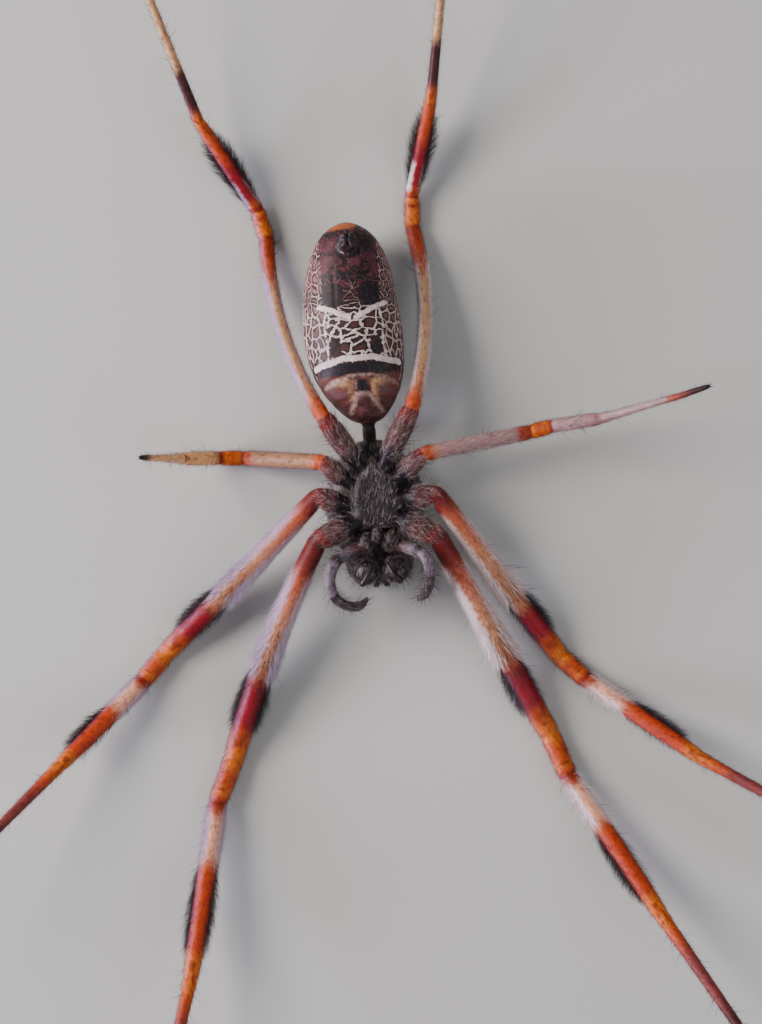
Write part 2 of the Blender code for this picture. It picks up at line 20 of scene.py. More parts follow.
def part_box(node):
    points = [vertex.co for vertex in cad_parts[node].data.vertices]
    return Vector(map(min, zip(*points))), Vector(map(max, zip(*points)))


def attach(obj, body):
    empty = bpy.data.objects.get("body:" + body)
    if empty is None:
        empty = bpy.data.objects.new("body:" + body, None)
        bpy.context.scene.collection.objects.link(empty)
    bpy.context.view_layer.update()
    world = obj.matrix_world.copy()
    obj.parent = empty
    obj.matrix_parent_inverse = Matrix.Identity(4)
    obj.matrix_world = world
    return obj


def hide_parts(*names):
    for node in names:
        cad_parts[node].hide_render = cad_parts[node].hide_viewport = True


bl_info = {
    "name": "Golden silk orb weaver",
    "version": (1, 0, 0),
    "blender": (4, 5, 0),
    "location": "3D View > Sidebar > Orb weaver",
    "description": "Skin, hair, eyes and stage of a life-size orb weaver round its solids",
    "category": "Object",
}

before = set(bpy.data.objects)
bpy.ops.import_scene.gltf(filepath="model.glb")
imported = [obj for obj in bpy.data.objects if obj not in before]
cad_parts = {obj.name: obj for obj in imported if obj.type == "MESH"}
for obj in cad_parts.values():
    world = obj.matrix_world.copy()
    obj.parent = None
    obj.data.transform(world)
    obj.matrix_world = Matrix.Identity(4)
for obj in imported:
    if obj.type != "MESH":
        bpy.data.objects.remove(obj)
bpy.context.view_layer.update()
MM = 0.001


def waist():
    """The place on the floor below the middle of the pedicel."""
    low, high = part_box("pedicel")
    return np.array(((low.x + high.x) / 2, (low.y + high.y) / 2, 0.0))


WAIST = waist()

# Legs, as in the part's source
SEGMENTS = ("coxa", "femur", "patella", "tibia", "metatarsus", "tarsus")
FLESH_SEGMENTS = ("coxa", "femur", "patella", "tibia", "foot")
JOINT_BLEND = 0.7  # how far a joint evens out the radii of the segments that it joins
JOINT_TURN = 1.5  # how far from a joint the rings turn towards the next segment
# Radius at the start, middle and end of each segment, for each pair of legs
RADII = {
    1: ((0.80, 1.08, 0.88), (0.84, 0.96, 0.88), (0.78, 0.84, 0.78), (0.78, 0.80, 0.68),
        (0.58, 0.46, 0.34), (0.33, 0.30, 0.20)),
    2: ((0.74, 1.02, 0.84), (0.80, 0.90, 0.82), (0.74, 0.80, 0.74), (0.72, 0.74, 0.62),
        (0.54, 0.42, 0.32), (0.31, 0.28, 0.20)),
    3: ((0.68, 0.90, 0.70), (0.64, 0.68, 0.62), (0.58, 0.64, 0.58), (0.56, 0.60, 0.54),
        (0.42, 0.34, 0.28), (0.28, 0.27, 0.20)),
    4: ((0.70, 0.95, 0.74), (0.62, 0.58, 0.66), (0.62, 0.66, 0.60), (0.60, 0.62, 0.54),
        (0.46, 0.38, 0.30), (0.29, 0.27, 0.20)),
}
Leg = namedtuple("Leg", "name pair root hip runs headings heights bow")
LEGS = (
    Leg("leg_right_1", 1, (2.05, -7.25), (4.8, -8.8), (18.5, 3.6, 13.3, 16.8, 3.6),
        (-65, -71, -61, -60, -61), (4.6, 0.68, 1.05, 4.2, 10.5, 11.6), 0.0),
    Leg("leg_left_1", 1, (-2.05, -7.25), (-4.8, -8.4), (18.9, 3.8, 14.1, 16.8, 3.7),
        (-116, -115, -103, -107, -108), (4.6, 0.68, 1.05, 4.2, 10.5, 11.6), 0.5),
    Leg("leg_right_2", 2, (2.75, -5.5), (5.0, -5.5), (16.5, 2.7, 11.0, 14.2, 3.3),
        (-57, -47, -39, -33, -32), (4.7, 0.62, 0.95, 3.6, 9.0, 9.8), 0.0),
    Leg("leg_left_2", 2, (-2.75, -5.5), (-4.6, -4.9), (17.7, 2.8, 9.4, 13.9, 3.4),
        (-139, -134, -139, -139, -140), (4.7, 0.62, 0.95, 3.6, 9.0, 9.8), 0.0),
    Leg("leg_right_3", 3, (2.2, -3.7), (4.2, -2.1), (8.8, 1.8, 3.9, 6.3, 2.3),
        (7, 10, 4, 11, 14), (4.7, 3.4, 3.7, 5.0, 8.2, 9.2), 0.0),
    Leg("leg_left_3", 3, (-2.2, -3.7), (-3.9, -2.1), (6.5, 2.0, 2.8, 2.1, 0.7),
        (172, 175, 177, 176, 177), (4.7, 0.50, 0.9, 3.8, 9.9, 12.2), 0.0),
    Leg("leg_right_4", 4, (1.25, -2.25), (3.6, 1.7), (14.7, 2.5, 8.0, 14.0, 3.1),
        (85, 87, 74, 80, 80), (5.3, 0.54, 0.85, 3.2, 8.2, 9.0), 1.0),
    Leg("leg_left_4", 4, (-1.25, -2.25), (-3.6, 1.6), (15.2, 2.4, 8.4, 14.0, 3.0),
        (103, 103, 119, 107, 107), (5.3, 0.54, 0.85, 3.2, 8.2, 9.0), -1.0),
)
ROOT_HEIGHT = 4.5  # of the legs' roots over the floor
BELLY_MIDDLE = 0.1  # how far the markings lie to the side of the abdomen's own middle line
BRUSHES = {(1, "femur"): (0.60, 0.87), (1, "tibia"): (0.36, 0.86),
           (2, "femur"): (0.60, 0.86), (2, "tibia"): (0.36, 0.84), (4, "tibia"): (0.12, 0.80)}
# Fullness of a brush before and behind the leg, on the right and on the left leg
BRUSH_SIDES = {1: ((1.0, 0.4), (0.85, 0.85)), 2: ((0.3, 0.9), (0.45, 1.0)),
               4: ((1.0, 1.0), (1.0, 1.0))}
# Pale hair: where along a leg it starts and ends, and how full it is
PALE_HAIR = {"front": ((1.14, 1.60, 1.0), (3.02, 3.36, 0.75)),
             "third": ((1.08, 1.85, 1.0), (3.05, 3.8, 0.8), (4.05, 4.8, 0.6)),
             "hind": ((1.06, 1.80, 1.0),)}
# Degrees from the belly's side at which a brush and a pale fringe start and are full
BRUSH_EDGE, FRINGE_EDGE = (38, 70), (26, 62)
JOINT_RIM = (0.035, 0.45, 0.18)  # height as a share of the radius, distance from the joint, width
JOINT_FOLD = (0.06, 0.0, 0.12)
ROOT_REACH = 1.3  # how far a leg's skin runs on into the chest
ROOT_TAPER = 0.3  # share of its radius that it loses there
ROOT_TIP, FOOT_TIP = 0.2, 0.12  # how far its poles lie beyond the last rings
TROCHANTER = 0.78  # share of the coxa node after which the short trochanter starts

# Trunk, as in the part's source: stations along +Y with half width, lowest and highest point
Trunk = namedtuple("Trunk", "kind stations squareness lean rows sides")
ABDOMEN = ((0.65, 0.0, 3.7, 3.7), (1.1, 1.4, 2.4, 4.9), (2.7, 2.75, 1.1, 6.0),
           (4.6, 3.6, 0.25, 6.7), (7.0, 4.0, -0.06, 7.0), (9.5, 3.95, -0.02, 7.0),
           (12.0, 3.65, 0.3, 6.8), (14.5, 2.95, 0.9, 6.3), (16.2, 1.8, 1.9, 5.5),
           (17.0, 0.0, 3.7, 3.7))
CARAPACE = ((-0.65, 0.0, 2.3, 2.3), (-1.1, 1.7, 1.0, 3.3), (-2.8, 3.1, 0.4, 3.5),
            (-5.0, 4.0, 0.15, 3.6), (-7.2, 3.8, 0.0, 3.6), (-8.6, 3.3, -0.06, 3.4),
            (-9.4, 3.0, -0.04, 2.4), (-10.2, 2.85, 0.0, 1.9), (-11.6, 2.3, 0.2, 1.8),
            (-12.2, 0.0, 0.95, 0.95))
STERNUM = ((-2.1, 0.0, 4.1, 4.1), (-2.6, 0.55, 3.0, 4.7), (-3.8, 1.5, 3.0, 5.1),
           (-5.5, 2.2, 3.0, 5.2), (-6.9, 1.85, 3.0, 5.1), (-7.6, 1.2, 3.0, 4.8),
           (-7.9, 0.0, 4.1, 4.1))
TRUNKS = (Trunk("abdomen", ABDOMEN, 2.2, -0.8, 130, 150),
          Trunk("carapace", CARAPACE, 2.1, 0.0, 100, 110),
          Trunk("sternum", STERNUM, 3.0, 0.0, 50, 60))
LEAN_REACH = 1.6  # how soon along the trunk its middle line has leaned over
LEAN_EASE = 0.3  # share of the lean that it has lost again at its end

# Mouth parts, palps, waist and spinnerets: points of a bent limb and the radius at each
CHELICERA = (((1.25, -10.7, 1.3), (1.3, -11.0, 2.2), (1.28, -11.1, 3.2), (1.22, -11.2, 4.6),
              (1.12, -11.3, 5.5), (1.1, -11.35, 5.8)), (0.6, 0.85, 1.05, 1.08, 0.85, 0.5))
FANG = (((1.45, -11.95, 6.0), (1.45, -12.0, 6.25), (1.15, -11.6, 6.5), (0.75, -10.9, 6.45),
         (0.45, -10.3, 6.15)), (0.28, 0.28, 0.24, 0.15, 0.04))
PALP_RADII = (0.5, 0.42, 0.5, 0.46, 0.42, 0.4, 0.38, 0.16)
PALP_LEFT = ((-1.4, -9.1, 4.4), (-2.2, -9.45, 4.7), (-3.5, -10.1, 5.3), (-4.1, -11.5, 5.6),
             (-3.85, -12.9, 5.5), (-2.9, -13.7, 5.3), (-1.9, -13.8, 5.2), (-1.2, -13.25, 5.1))
PALP_RIGHT = ((1.4, -9.1, 4.2), (2.2, -9.45, 4.7), (3.3, -9.9, 5.7), (3.85, -10.7, 6.2),
              (3.9, -11.8, 5.8), (3.7, -12.8, 5.0), (3.3, -13.4, 4.2), (2.85, -13.7, 3.5))
PEDICEL = (((0, -1.5, 2.6), (0, -0.32, 2.9), (0, 0.32, 3.3), (0, 1.5, 3.6)), (0.6, 0.55, 0.55, 0.6))
# Bulges fused to the head and belly: kind, centre, radii
BULGES = (("sternum", (0.0, -8.2, 4.0), (0.55, 0.7, 1.0)),
          ("sternum", (1.05, -8.75, 3.8), (0.72, 0.85, 1.35)),
          ("sternum", (-1.05, -8.75, 3.8), (0.72, 0.85, 1.35)))
SPINNERET_PLACE = 7.3
SPINNERET_TURN = 0.03
# Cones of the spinnerets: place behind the middle of their mound, to its side, length and radius
SPINNERETS = ((-0.42, 0.36, 0.62, 0.33), (0.0, 0.26, 0.5, 0.22), (0.42, 0.36, 0.66, 0.32),
              (0.85, 0.0, 0.4, 0.28))
LIMB_TIP = 0.4  # how far a limb's poles lie beyond its ends, as a share of the radius
PITS = ((4.6, 0.9), (7.4, 1.15), (9.6, 1.1), (11.4, 0.9))  # on the abdomen's back, along +Y and aside
COXA_HUMPS = ((-6.5, 1.25), (-5.1, 1.45), (-3.9, 1.05), (-3.0, 0.3))  # on the chest
EYE_MOUND = 0.95  # share of the way from the head to an eye's middle that its mound fills
EYE_SINK = 0.05  # how far an eye is set back into its mound
EYE_DEPTH = 0.8  # depth of an eye as a share of its radius
EYES = {"front_middle": 0.25, "rear_middle": 0.25, "front_side": 0.21, "rear_side": 0.21}

LEG_KINDS = ("leg_1", "leg_2", "leg_3", "leg_4")
KINDS = (*LEG_KINDS, "abdomen", "carapace", "sternum", "chelicera", "palp", "spinneret", "pedicel")

# Markings of the belly, in millimetres to the side of its middle line and along +Y. Each is
# drawn on both sides: a line through its points of a half width, or a blot of two radii.
Line = namedtuple("Line", "colour points half_width")
Blot = namedtuple("Blot", "colour centre radii")
MARKS = (
    Line("pale", ((3.75, 5.1), (3.0, 5.5), (2.2, 5.62), (1.2, 5.95), (0.0, 5.9)), 0.23),
    Line("pale", ((2.65, 10.15), (2.1, 10.0), (1.55, 9.8), (0.95, 9.45), (0.3, 9.15)), 0.19),
    Line("pale", ((2.1, 9.9), (2.35, 8.6), (2.2, 7.2), (2.35, 5.8)), 0.07),
    Line("bloom", ((0.0, 4.60), (1.0, 4.52), (2.2, 4.2), (2.9, 3.7)), 0.03),
    Line("bloom", ((0.0, 3.1), (0.5, 3.05), (0.85, 2.4), (1.3, 1.6)), 0.10),
    Line("bloom", ((1.2, 4.25), (1.9, 4.1), (2.5, 3.8)), 0.04),
    Blot("black", (1.42, 11.0), (0.86, 1.0)),
    Blot("black", (1.62, 6.8), (0.46, 0.8)),
    Blot("black", (0.0, 5.06), (2.95, 0.52)),
    Blot("black", (0.0, 14.7), (1.1, 0.8)),
    Blot("black", (0.0, 3.72), (0.42, 0.5)),
    Blot("tan", (1.35, 3.95), (0.5, 0.24)),
    Blot("tan", (0.95, 3.45), (0.2, 0.6)),
)
# Thin pale stripes along the flanks: how far each faces the belly, and half its width
FLANK_STRIPES = ((0.34, 0.010), (0.12, 0.022), (-0.10, 0.012))

# Use and colour of each paint
COLOURS = {
    "maroon": ("Root of the femur", (0.13, 0.012, 0.012)),
    "rust": ("Between maroon and peach", (0.40, 0.075, 0.035)),
    "peach": ("Pale stretch of the femur", (0.50, 0.205, 0.105)),
    "crimson": ("Dark band of the femur", (0.26, 0.006, 0.016)),
    "amber": ("Knees and joint rings", (0.62, 0.14, 0.008)),
    "orange": ("Shade of knees and feet", (0.47, 0.062, 0.009)),
    "ember": ("Ring marks of the knees", (0.24, 0.016, 0.003)),
    "red": ("Outer part of the tibia", (0.48, 0.046, 0.008)),
    "pink": ("Root of the tibia", (0.78, 0.36, 0.24)),
    "buff": ("Pale part of the hind legs", (0.55, 0.30, 0.16)),
    "lilac": ("Pale hair of the legs", (0.62, 0.48, 0.50)),
    "grey": ("Pale blotches of the coxae", (0.17, 0.10, 0.11)),
    "wine": ("Middle of the feet", (0.20, 0.035, 0.035)),
    "brown": ("Joint membranes and outer feet", (0.055, 0.014, 0.014)),
    "black": ("Brushes, spines, jaws and head", (0.011, 0.007, 0.010)),
    "plum": ("Ground of the belly", (0.085, 0.022, 0.022)),
    "cream": ("Net and bars of the belly", (0.52, 0.40, 0.36)),
    "tan": ("Edges of the lung plates", (0.40, 0.20, 0.10)),
    "olive": ("Back of the abdomen", (0.14, 0.115, 0.075)),
    "silver": ("Hair of the head and chest", (0.46, 0.37, 0.35)),
}


class OrbWeaverSkin(bpy.types.PropertyGroup):
    """Sizes of the skin."""

    ring_step: FloatProperty(name="Ring step", description="From one ring of a leg's skin to the next",
                             default=0.25 * MM, min=0.05 * MM, precision=5, unit="LENGTH")
    leg_sides: IntProperty(name="Leg sides", description="Points round a leg", default=18, min=8)
    depth: FloatProperty(name="Coat depth", description="How far the skin lies inside the solids",
                         default=0.03 * MM, min=0.0, precision=5, unit="LENGTH")


class OrbWeaverColours(bpy.types.PropertyGroup):
    """Colours of skin and coat."""

    __annotations__ = {
        name: FloatVectorProperty(name=name.title(), description=use, subtype="COLOR", default=colour)
        for name, (use, colour) in COLOURS.items()}


class OrbWeaverCoat(bpy.types.PropertyGroup):
    """Sizes of the hair."""

    length: FloatProperty(name="Length", description="Times the length of each coat",
                          default=1.0, min=0.1, subtype="FACTOR")
    density: FloatProperty(name="Density", description="Times the number of hairs",
                           default=1.0, min=0.05, subtype="FACTOR")
    floor_clearance: FloatProperty(name="Floor clearance", description="Lowest place of a hair",
                                   default=0.02 * MM, min=0.0, precision=5, unit="LENGTH")


class OrbWeaverStage(bpy.types.PropertyGroup):
    """Camera, light and floor."""

    camera_height: FloatProperty(name="Camera height", description="Height above the floor",
                                 default=0.3, min=0.05, unit="LENGTH", subtype="DISTANCE")
    lens: FloatProperty(name="Lens", description="Focal length for a 36 mm tall picture",
                        default=129.64, min=10.0, subtype="DISTANCE_CAMERA")
    key_power: FloatProperty(name="Key light", description="Power of the main light",
                             default=3.0, min=0.0, unit="POWER")
    fill_power: FloatProperty(name="Fill light", description="Power of the fill light",
                              default=0.9, min=0.0, unit="POWER")
    rim_power: FloatProperty(name="Rim light", description="Power of the low light at the side",
                             default=3.0, min=0.0, unit="POWER")


class LegLine:
    """The centre line and thickness of one leg, as in the part's source. Segments are numbered."""

    def __init__(self, leg):
        self.bow = leg.bow
        self.sizes = RADII[leg.pair]
        self.joints = [Vector((*leg.root, ROOT_HEIGHT)), Vector((*leg.hip, leg.heights[0]))]
        for run, heading, height in zip(leg.runs, leg.headings, leg.heights[1:]):
            angle = math.radians(heading)
            last = self.joints[-1]
            self.joints.append(Vector((last.x + run * math.cos(angle),
                                       last.y + run * math.sin(angle), height)))

    def bend(self, k):
        """Both ends of a segment and, between them, the point that bends a femur."""
        start, end = self.joints[k:k + 2]
        middle = (start + end) / 2
        if SEGMENTS[k] == "femur":
            along = (end - start).normalized()
            middle += 2 * self.bow * along.cross(Vector((0, 0, 1))).normalized()
        return start, middle, end

    def length(self, k):
        return (self.joints[k + 1] - self.joints[k]).length

    def point(self, k, t):
        start, middle, end = self.bend(k)
        return start * (1 - t) ** 2 + middle * 2 * t * (1 - t) + end * t ** 2

    def tangent(self, k, t):
        start, middle, end = self.bend(k)
        return ((middle - start) * (1 - t) + (end - middle) * t).normalized()

    def direction(self, k, t):
        """The tangent, turned near each joint towards the next segment's."""
        here = self.tangent(k, t)
        reach = JOINT_TURN / self.length(k)
        for other, end, away in ((k - 1, 0.0, t), (k + 1, 1.0, 1 - t)):
            if 0 <= other < len(SEGMENTS) and away < reach:
                mitre = (self.tangent(other, 1 - end) + self.tangent(k, end)).normalized()
                here = here.lerp(mitre, 1 - away / reach)
        return here.normalized()

    def radius(self, k, t):
        """The solid's radius, with a rim and a fold of thin skin at each joint."""
        start, middle, end = self.sizes[k]
        size = start * (1 - t) * (1 - 2 * t) + middle * 4 * t * (1 - t) + end * t * (2 * t - 1)
        run = self.length(k)
        if k > 0:
            size += hump(t * run, (self.sizes[k - 1][2] - start) / 2, 0.0, JOINT_BLEND)
        if k < len(SEGMENTS) - 1:
            size += hump((1 - t) * run, (self.sizes[k + 1][0] - end) / 2, 0.0, JOINT_BLEND)
        away = min(t, 1 - t) * run
        share = 0.98 + hump(away, *JOINT_RIM) - hump(away, *JOINT_FOLD)
        if SEGMENTS[k] == "coxa":
            share -= hump((t - TROCHANTER) * run, *JOINT_FOLD)
        return size * share


def hump(place, height, middle, width):
    """A smooth rise of this height and width round a middle."""
    return height * np.exp(-((place - middle) / width) ** 2)


def ramp_up(value, low, high):
    """0 below low, 1 above high, and smooth between."""
    t = np.clip((value - low) / (high - low), 0, 1)
    return t * t * (3 - 2 * t)


def turns_of(sides):
    return 2 * math.pi * np.arange(sides) / sides


def curve(rows, k, t):
    """A Catmull-Rom curve through rows of numbers, a share t of the way on from row k + 1."""
    a, b, c, d = (rows[k + step] for step in range(4))
    return 0.5 * (2 * b + (c - a) * t + (2 * a - 5 * b + 4 * c - d) * t ** 2
                  + (3 * b - a - 3 * c + d) * t ** 3)


def ring_faces(rings, sides):
    """Faces of a closed form: a pole, rings of points and a second pole."""
    faces = []
    last = 1 + (rings - 1) * sides
    for k in range(sides):
        after = (k + 1) % sides
        faces += [(0, 1 + after, 1 + k), (last + sides, last + k, last + after)]
        faces += [(base + k, base + after, base + sides + after, base + sides + k)
                  for base in range(1, last, sides)]
    return faces


def sheet_of_rings(kind, first, rings, last, sides, place, lie, side=1.0):
    """One closed form of the skin: two poles and the rings between them, with the place along it,
    the turn round it, the lie of the hair and the run from the first ring at each of its points."""
    def spread(values):
        values = np.asarray(values, float)
        return np.concatenate([values[:1], np.repeat(values, sides, axis=0), values[-1:]])

    middles = np.array([ring.mean(axis=0) for ring in rings])
    steps = np.linalg.norm(np.diff(middles, axis=0), axis=1)
    turns = np.concatenate([[0], np.tile(turns_of(sides), len(rings)), [0]])
    return SimpleNamespace(kind=KINDS.index(kind), points=np.vstack([[first], *rings, [last]]),
                           faces=ring_faces(len(rings), sides), side=side, turn=turns,
                           place=spread(place), lie=spread(lie),
                           run=spread(np.concatenate([[0], np.cumsum(steps)])))


def round_ring(centre, direction, radius, sides, across=Vector((0, 0, 1))):
    """A ring of points. Turn 0 faces up, or another direction across."""
    up = (across - direction * direction.dot(across)).normalized()
    side = direction.cross(up)
    turns = turns_of(sides)[:, None]
    return (np.array(centre) + radius * (np.cos(turns) * np.array(up)
                                         + np.sin(turns) * np.array(side)))


def leg_sheet(leg, step, sides, depth):
    line = LegLine(leg)
    inward = line.tangent(0, 0.0)
    root, radius = line.joints[0], line.radius(0, 0.0)
    rings, places, lies = [], [], []
    for back in np.arange(ROOT_REACH, step / 2, -step):
        rings.append(round_ring(root - inward * back, inward,
                                radius * (1 - ROOT_TAPER * back / ROOT_REACH), sides))
        places.append(0.0)
        lies.append(inward)
    last = len(SEGMENTS) - 1
    for k in range(len(SEGMENTS)):
        count = max(4, round(line.length(k) / step))
        for j in range(count + (k == last)):
            t = j / count
            lies.append(line.direction(k, t))
            rings.append(round_ring(line.point(k, t), lies[-1], line.radius(k, t) - depth, sides))
            places.append(k + t)
    start = root - inward * (ROOT_REACH + ROOT_TIP)
    tip = line.joints[-1] + line.tangent(last, 1.0) * FOOT_TIP
    return sheet_of_rings("leg_%d" % leg.pair, start, rings, tip, sides, places, lies,
                          1.0 if "right" in leg.name else -1.0)


def smooth_stations(stations, places):
    """Y, half width, lowest and highest point at these places, on the curve of the solids."""
    rows = np.array(stations, float)
    ghosts = [(beside[0], -beside[1], 2 * pole[2] - beside[2], 2 * pole[3] - beside[3])
              for pole, beside in ((rows[0], rows[1]), (rows[-1], rows[-2]))]
    rows = np.vstack([ghosts[:1], rows, ghosts[1:]])
    k = np.minimum(np.asarray(places, float).astype(int), len(stations) - 2)
    return curve(rows, k, (places - k)[:, None])


def lean_at(trunk, y):
    """How far the trunk's middle line lies to the side at y."""
    first, last = trunk.stations[0][0], trunk.stations[-1][0]
    share = (y - first) / (last - first)
    reach = np.sin(math.pi * np.clip(share * LEAN_REACH, 0, 1) / 2)
    return trunk.lean * reach * (1 - LEAN_EASE * share)


def trunk_points(trunk, places, turns):
    y, half_width, low, high = smooth_stations(trunk.stations, places).T
    aside, rise = (np.sign(share) * np.abs(share) ** (2 / trunk.squareness)
                   for share in (np.sin(turns), np.cos(turns)))
    x = lean_at(trunk, y) + half_width * aside
    return np.stack([x, y, (low + high) / 2 + (high - low) / 2 * rise], axis=1)


def trunk_sheet(trunk, depth):
    last = len(trunk.stations) - 1
    places = last * np.arange(1, trunk.rows) / trunk.rows
    rings = [trunk_points(trunk, np.full(trunk.sides, place), turns_of(trunk.sides))
             for place in places]
    poles = trunk_points(trunk, np.array((0.0, float(last))), np.zeros(2))
    lie = np.tile((0.0, 1.0, 0.0), (len(places), 1))
    sheet = sheet_of_rings(trunk.kind, poles[0], rings, poles[1], trunk.sides, places, lie)
    relief = RELIEFS[trunk.kind](sheet.points[:, 0] - lean_at(trunk, sheet.points[:, 1]),
                                 sheet.points[:, 1], np.cos(sheet.turn))
    if trunk.kind == "carapace":
        relief = relief + eye_mounds(sheet.points)
    sheet.points += vertex_normals(sheet) * (relief - depth)[:, None]
    return sheet


def eye_nodes():
    return [("eye_%s_%s" % (row, side), radius)
            for row, radius in EYES.items() for side in ("right", "left")]


def middle_of(node):
    """The middle of a node's box, in millimetres from the waist."""
    low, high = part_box(node)
    return ((np.array(low) + np.array(high)) / 2 - WAIST) / MM


def eye_mounds(points):
    """A low mound of skin under each eye, so that the eye looks out of a socket."""
    height = np.zeros(len(points))
    for node, radius in eye_nodes():
        away = np.linalg.norm(points - middle_of(node), axis=1)
        mound = hump(away - away.min(), EYE_MOUND * away.min(), 0.0, radius)
        height = np.maximum(height, mound)
    return height


def vertex_normals(sheet):
    """Outward directions at the points of a sheet."""
    normals = np.zeros_like(sheet.points)
    volume = 0.0
    for count in (3, 4):
        faces = np.array([face for face in sheet.faces if len(face) == count])
        corners = sheet.points[faces]
        across = np.cross(corners[:, 2] - corners[:, 0], corners[:, -1] - corners[:, 1])
        if count == 3:
            across = np.cross(corners[:, 1] - corners[:, 0], corners[:, 2] - corners[:, 0])
        for corner in range(count):
            np.add.at(normals, faces[:, corner], across)
        volume += np.sum(across * corners[:, 0])
    normals *= np.sign(volume)
    return normals / np.maximum(np.linalg.norm(normals, axis=1), 1e-9)[:, None]


def abdomen_relief(x, y, facing):
    """Height of the abdomen's folds: x from the middle line, facing 1 at the belly, -1 at the back."""
    aside = np.abs(x)
    belly = ramp_up(facing, 0.1, 0.6)
    back = ramp_up(-facing, 0.1, 0.6)
    furrow_y = 4.55 - 0.07 * x ** 2
    height = -hump(y, 0.10, furrow_y, 0.13) * belly * ramp_up(3.2 - aside, 0, 1)
    lung = ((aside - 1.85) / 1.15) ** 2 + ((y - 3.45) / 0.85) ** 2
    height += belly * (0.12 * ramp_up(1.15 - lung, 0, 0.7) - hump(lung, 0.05, 1.15, 0.2))
    height += 0.16 * belly * ramp_up(1 - (x / 0.55) ** 2 - ((y - 3.6) / 0.75) ** 2, 0, 1)
    height -= belly * hump(aside, 0.04, 1.2, 0.12) * ramp_up(y, 6, 7) * ramp_up(14 - y, 0, 1)
    for pit_y, pit_x in PITS:
        height -= back * hump(np.hypot(aside - pit_x, y - pit_y), 0.14, 0.0, 0.22)
    folds = np.sin(y * 5.2 + 0.8 * np.sin(x * 1.7)) * np.sin(x * 1.1 + 2)
    return height + 0.018 * folds * ramp_up(aside, 1.5, 3.0)


def carapace_relief(x, y, facing):
    """Grooves of the back: one round the raised head, a pit, and lines that run out from it."""
    back = ramp_up(-facing, 0.0, 0.5)
    groove_y = -6.9 + 0.62 * np.abs(x)
    height = -back * hump(y, 0.20, groove_y, 0.24) * ramp_up(3.3 - np.abs(x), 0, 0.8)
    height -= back * 0.38 * np.exp(-(x / 0.75) ** 2 - ((y + 4.3) / 0.28) ** 2)
    rays = np.abs(np.cos(np.arctan2(x, y + 4.3) * 4)) ** 6
    height -= back * 0.06 * rays * ramp_up(np.hypot(x, y + 4.3), 0.8, 1.5)
    return height + hump(facing, 0.10, -0.05, 0.10) * ramp_up(y, -9.5, -8.5)


def sternum_relief(x, y, facing):
    """A low hump beside each coxa, and a shallow middle line."""
    belly = ramp_up(facing, 0.2, 0.7)
    height = -0.05 * belly * np.exp(-(x / 0.5) ** 2)
    for hump_y, hump_x in COXA_HUMPS:
        height += belly * hump(np.hypot(np.abs(x) - hump_x, y - hump_y), 0.16, 0.0, 0.36)
    return height


RELIEFS = {"abdomen": abdomen_relief, "carapace": carapace_relief, "sternum": sternum_relief}


def limb_sheet(kind, points, radii, sides=20, between=7):
    """A bent limb through a few points, with a radius at each."""
    knots = np.array([(*point, radius) for point, radius in zip(points, radii)], float)
    knots = np.vstack([2 * knots[0] - knots[1], knots, 2 * knots[-1] - knots[-2]])
    line = [curve(knots, k, t)
            for k in range(len(points) - 1) for t in np.arange(between) / between]
    line = np.array([*line, knots[-2]])
    across = None
    rings, lies = [], []
    for k, row in enumerate(line):
        direction = Vector(line[min(k + 1, len(line) - 1), :3] - line[max(k - 1, 0), :3]).normalized()
        across = direction.orthogonal() if across is None else across
        across = (across - direction * across.dot(direction)).normalized()
        rings.append(round_ring(row[:3], direction, float(row[3]), sides, across))
        lies.append(direction)
    start, end = (line[k, :3] + np.array(lies[k]) * line[k, 3] * LIMB_TIP * way
                  for k, way in ((0, -1), (-1, 1)))
    return sheet_of_rings(kind, start, rings, end, sides, np.arange(len(line)) / between, lies)


def bulge_sheet(kind, centre, radii, sides=24, rows=16):
    """An ellipsoid with its poles along Z."""
    centre, radii = np.array(centre), np.array(radii)
    polar = math.pi * np.arange(1, rows) / rows
    turns = turns_of(sides)
    rings = [centre + radii * np.stack([math.sin(p) * np.cos(turns), math.sin(p) * np.sin(turns),
                                        np.full(sides, -math.cos(p))], axis=1) for p in polar]
    pole = radii * (0, 0, 1)
    lie = np.tile((0.0, -0.6, 0.8), (len(rings), 1))
    return sheet_of_rings(kind, centre - pole, rings, centre + pole, sides, polar, lie)


def mirrored(points):
    return tuple((-x, y, z) for x, y, z in points)


def spinneret_sheets():
    """Three pairs of cones and the anal cone, round a low mound at the end of the belly."""
    places = np.array((SPINNERET_PLACE, SPINNERET_PLACE + 0.02, SPINNERET_PLACE))
    turns = np.array((SPINNERET_TURN, SPINNERET_TURN, SPINNERET_TURN + 0.02))
    here, further, beside = (Vector(p) for p in trunk_points(TRUNKS[0], places, turns))
    out = (beside - here).cross(further - here).normalized()
    across = out.cross(Vector((0, 1, 0))).normalized()
    back = across.cross(out)
    sheets = [limb_sheet("spinneret", (here - out * 0.3, here + out * 0.3, here + out * 0.62),
                         (0.95, 0.88, 0.55))]
    for behind, aside, reach, thick in SPINNERETS:
        for side in (-1, 1) if aside else (1,):
            root = here + out * 0.36 + back * behind + across * side * aside
            tip = root + out * reach - back * behind * 0.45 - across * side * aside * 0.45
            knee = root.lerp(tip, 0.6) + (back * behind + across * side * aside) * 0.12
            sheets.append(limb_sheet("spinneret", (root, knee, tip),
                                     (thick, thick * 0.85, thick * 0.35), sides=14))
    return sheets


